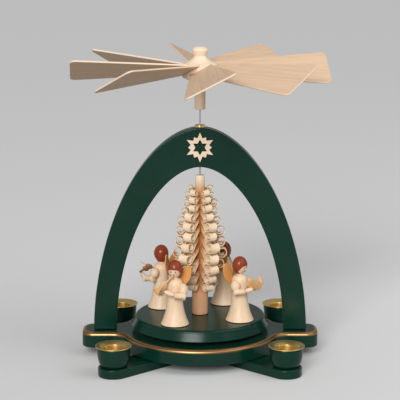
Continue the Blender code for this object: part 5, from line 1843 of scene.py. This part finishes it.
# The body's side: shares of its length, with shares of its half width
VIOLIN_SHAPE = (
    *((0.0, 0.3), (0.03, 0.6), (0.09, 0.86), (0.18, 0.98), (0.28, 0.98), (0.37, 0.86), (0.44, 0.7)),
    *((0.52, 0.64), (0.6, 0.7), (0.67, 0.82), (0.76, 0.86), (0.86, 0.78), (0.94, 0.56), (0.985, 0.3)),
)
SCROLL = 0.0009
SCROLL_HEIGHT = 0.0005
STRIP_EASE = 0.00015
# Where the neck, the fingerboard and the tailpiece start and the tailpiece ends, as shares of the body's length
NECK_START = 0.94
BOARD_START = 0.62
TAIL_START = 0.06
TAIL_END = 0.3
# How far before the end of the scroll the neck and the fingerboard end
NECK_SHORT = 0.0012
BOARD_SHORT = 0.002
# How far the dark strips are let into the violin's top
STRIP_SUNK = 0.0001
BOW_PLACE = 0.0041
BOW_HEEL_REACH = 0.0135
BOW_TIP_REACH = 0.009
# Height of the bow over the violin's top
BOW_HEIGHT = 0.0011


def violin_place():
    """X runs along the violin from chin to scroll and Z out of its top. Its left side is the higher."""
    forward = Vector((math.cos(VIOLIN_DIP), 0, -math.sin(VIOLIN_DIP)))
    across = Vector((0, 1, 0))
    turn = Matrix((forward, across, forward.cross(across))).transposed().to_4x4()
    return angel_spot("violin") @ Matrix.Translation(VIOLIN_CHIN) @ turn @ Matrix.Rotation(VIOLIN_ROLL, 4, "X")


def slip(name, start, end, width, low, high):
    """A thin sawn strip along the violin's middle, from one place to another."""
    strip = sawn(name, strip_outline(start, end, width / 2), high - low)
    return placed(eased(strip, STRIP_EASE, segments=2), lift((low + high) / 2))


class PYRAMID_OT_violin(bpy.types.Operator):
    """A stained violin with its neck, scroll, fingerboard and tailpiece, and the bow across it"""

    bl_idname = "pyramid.violin"
    bl_label = "Violin and bow"

    def execute(self, context):
        side = [(VIOLIN_BODY * share, VIOLIN_HALF_WIDTH * width) for share, width in VIOLIN_SHAPE]
        outline = [(x, -y) for x, y in side] + list(reversed(side))
        body = eased(sawn("violin_body", outline, VIOLIN_DEPTH), VIOLIN_EASE, edge_angle=VIOLIN_EASE_ANGLE)
        top = VIOLIN_DEPTH / 2
        tip = VIOLIN_BODY + VIOLIN_NECK
        sunk = top - STRIP_SUNK
        neck_ends = (VIOLIN_BODY * NECK_START, tip - NECK_SHORT)
        neck = slip("violin_neck", *neck_ends, width=0.0013, low=-0.0005, high=top)
        scroll_place = Matrix.Translation((tip - SCROLL, 0, SCROLL_HEIGHT))
        scroll = turned("violin_scroll", oval(SCROLL, -SCROLL, SCROLL), steps=20)
        placed(scroll, scroll_place @ Matrix.Rotation(QUARTER_TURN, 4, "X"))
        board_ends = (VIOLIN_BODY * BOARD_START, tip - BOARD_SHORT)
        board = slip("violin_fingerboard", *board_ends, width=0.0011, low=sunk, high=top + 0.0003)
        tail_ends = (VIOLIN_BODY * TAIL_START, VIOLIN_BODY * TAIL_END)
        tail = slip("violin_tailpiece", *tail_ends, width=0.0012, low=sunk, high=top + 0.00025)
        stained, dark = [body, neck, scroll], [board, tail]
        for piece in stained + dark:
            name = "stained_violin_wood" if piece in stained else "dark_eye_paint"
            mark_grain(with_finish(piece, name), "X", GRAIN_SHIFTS["violin"])
        violin = placed(joined("violin_player_violin", *stained, *dark), violin_place())
        finish_piece(violin, ROTOR, "pale_wood", "violin_angel_violin")
        height = top + BOW_HEIGHT
        heel, point = Vector((BOW_PLACE, -BOW_HEEL_REACH, height)), Vector((BOW_PLACE, BOW_TIP_REACH, height))
        bow = turned_rod("violin_player_bow", (point - heel).length, BOW_STICK, floor=1.0, steps=20)
        mark_grain(with_finish(bow, "waxed_pale_wood"), "Z", GRAIN_SHIFTS["bow"])
        placed(bow, violin_place() @ along(heel, point))
        finish_piece(bow, ROTOR, "pale_wood", "violin_angel_bow")
        return {"FINISHED"}


KEY_SOFTNESS = math.radians(30)
FILL_PLACE = (0.8, -0.35, 1.05)
FILL_AIM = (0, 0, 0.12)
FILL_SIZE = 1.0
CAMERA_NEAR = 0.05
# How much lighter the floor's paper is on its tooth
TOOTH_LIGHT = 0.02


def floor_paper():
    """Plain pale paper with a faint tooth, which throws back less light than it shows."""
    look = bpy.context.scene.pyramid_stage
    material, bench, shader = new_material("pale_floor_paper", Specular_IOR_Level=0.0)
    tooth = bench.noise(bench.place(), TOOTH_SCALE)
    paper = bench.mixed(tooth, opaque(look.floor), opaque(lighter(look.floor, TOOTH_LIGHT)))
    ray = bench.add("ShaderNodeLightPath").outputs
    mirrored_ray = bench.math("MAXIMUM", ray["Is Glossy Ray"], ray["Is Transmission Ray"])
    seen = bench.math("MAXIMUM", ray["Is Camera Ray"], mirrored_ray)
    bench.wire(shader, "Base Color", bench.mixed(seen, opaque(look.floor_bounce), paper))
    bench.wire(shader, "Roughness", bench.ranged(tooth, 0.3, 0.7, 0.85, 0.95))
    return material


class PYRAMID_OT_stage(bpy.types.Operator):
    """The pale floor, the soft light and the camera"""

    bl_idname = "pyramid.stage"
    bl_label = "Stage"

    def execute(self, context):
        scene = context.scene
        look = scene.pyramid_stage
        start_clean()
        bpy.ops.mesh.primitive_plane_add(size=look.floor_size)
        floor = named(bpy.context.object, "floor")
        floor.data.materials.append(floor_paper())
        start_clean()
        bpy.ops.object.light_add(type="SUN", rotation=(QUARTER_TURN - look.key_height, 0, -look.key_side))
        key = named(bpy.context.object, "key_light")
        key.data.energy = look.key
        key.data.angle = KEY_SOFTNESS
        start_clean()
        bpy.ops.object.light_add(type="AREA", location=FILL_PLACE)
        fill = named(bpy.context.object, "fill_light")
        fill.rotation_euler = (Vector(FILL_AIM) - fill.location).to_track_quat("-Z", "Y").to_euler()
        fill.data.energy = look.fill
        fill.data.size = FILL_SIZE
        world = bpy.data.worlds.new("even_light")
        world.use_nodes = True
        scene.world = world
        background = world.node_tree.nodes["Background"]
        background.inputs["Color"].default_value = (1.0, 1.0, 1.0, 1.0)
        background.inputs["Strength"].default_value = look.world
        start_clean()
        bpy.ops.object.camera_add(
            location=(0, -look.camera_back, look.camera_height), rotation=(QUARTER_TURN - look.camera_dip, 0, 0)
        )
        camera = named(bpy.context.object, "photo_camera")
        camera.data.lens = look.lens
        camera.data.clip_start = CAMERA_NEAR
        scene.camera = camera
        scene.view_settings.view_transform = "Standard"
        return {"FINISHED"}


STEPS = (
    PYRAMID_OT_stage,
    PYRAMID_OT_cross_bars,
    PYRAMID_OT_base_plate,
    PYRAMID_OT_candle_cups,
    PYRAMID_OT_arch,
    PYRAMID_OT_star,
    PYRAMID_OT_bush_and_shaft,
    PYRAMID_OT_turntable,
    PYRAMID_OT_wheel,
    PYRAMID_OT_tree,
    PYRAMID_OT_angel_bodies,
    PYRAMID_OT_angel_arms,
    PYRAMID_OT_horn,
    PYRAMID_OT_songbook,
    PYRAMID_OT_flute,
    PYRAMID_OT_violin,
)


class PYRAMID_PT_pieces(bpy.types.Panel):
    """Lists the steps that build the pyramid"""

    bl_idname = "PYRAMID_PT_pieces"
    bl_label = "Christmas Pyramid"
    bl_space_type = "VIEW_3D"
    bl_region_type = "UI"
    bl_category = "Pyramid"

    def draw(self, context):
        for step in STEPS:
            self.layout.operator(step.bl_idname)


GROUPS = {
    "pyramid_stand": StandSizes,
    "pyramid_rotor": RotorSizes,
    "pyramid_tree": TreeSizes,
    "pyramid_angels": AngelSizes,
    "pyramid_finishes": Finishes,
    "pyramid_stage": StageLook,
}


def register():
    for name, group in GROUPS.items():
        bpy.utils.register_class(group)
        setattr(bpy.types.Scene, name, PointerProperty(type=group))
    for step in STEPS:
        bpy.utils.register_class(step)
    bpy.utils.register_class(PYRAMID_PT_pieces)


def unregister():
    bpy.utils.unregister_class(PYRAMID_PT_pieces)
    for step in reversed(STEPS):
        bpy.utils.unregister_class(step)
    for name, group in reversed(GROUPS.items()):
        delattr(bpy.types.Scene, name)
        bpy.utils.unregister_class(group)


def main():
    register()
    bpy.ops.pyramid.stage()
    bpy.ops.pyramid.cross_bars()
    bpy.ops.pyramid.base_plate()
    bpy.ops.pyramid.candle_cups()
    bpy.ops.pyramid.arch()
    bpy.ops.pyramid.star()
    bpy.ops.pyramid.bush_and_shaft()
    bpy.ops.pyramid.turntable()
    bpy.ops.pyramid.wheel()
    bpy.ops.pyramid.tree()
    bpy.ops.pyramid.angel_bodies()
    bpy.ops.pyramid.angel_arms()
    bpy.ops.pyramid.horn()
    bpy.ops.pyramid.songbook()
    bpy.ops.pyramid.flute()
    bpy.ops.pyramid.violin()
    start_clean()


if __name__ == "__main__":
    main()
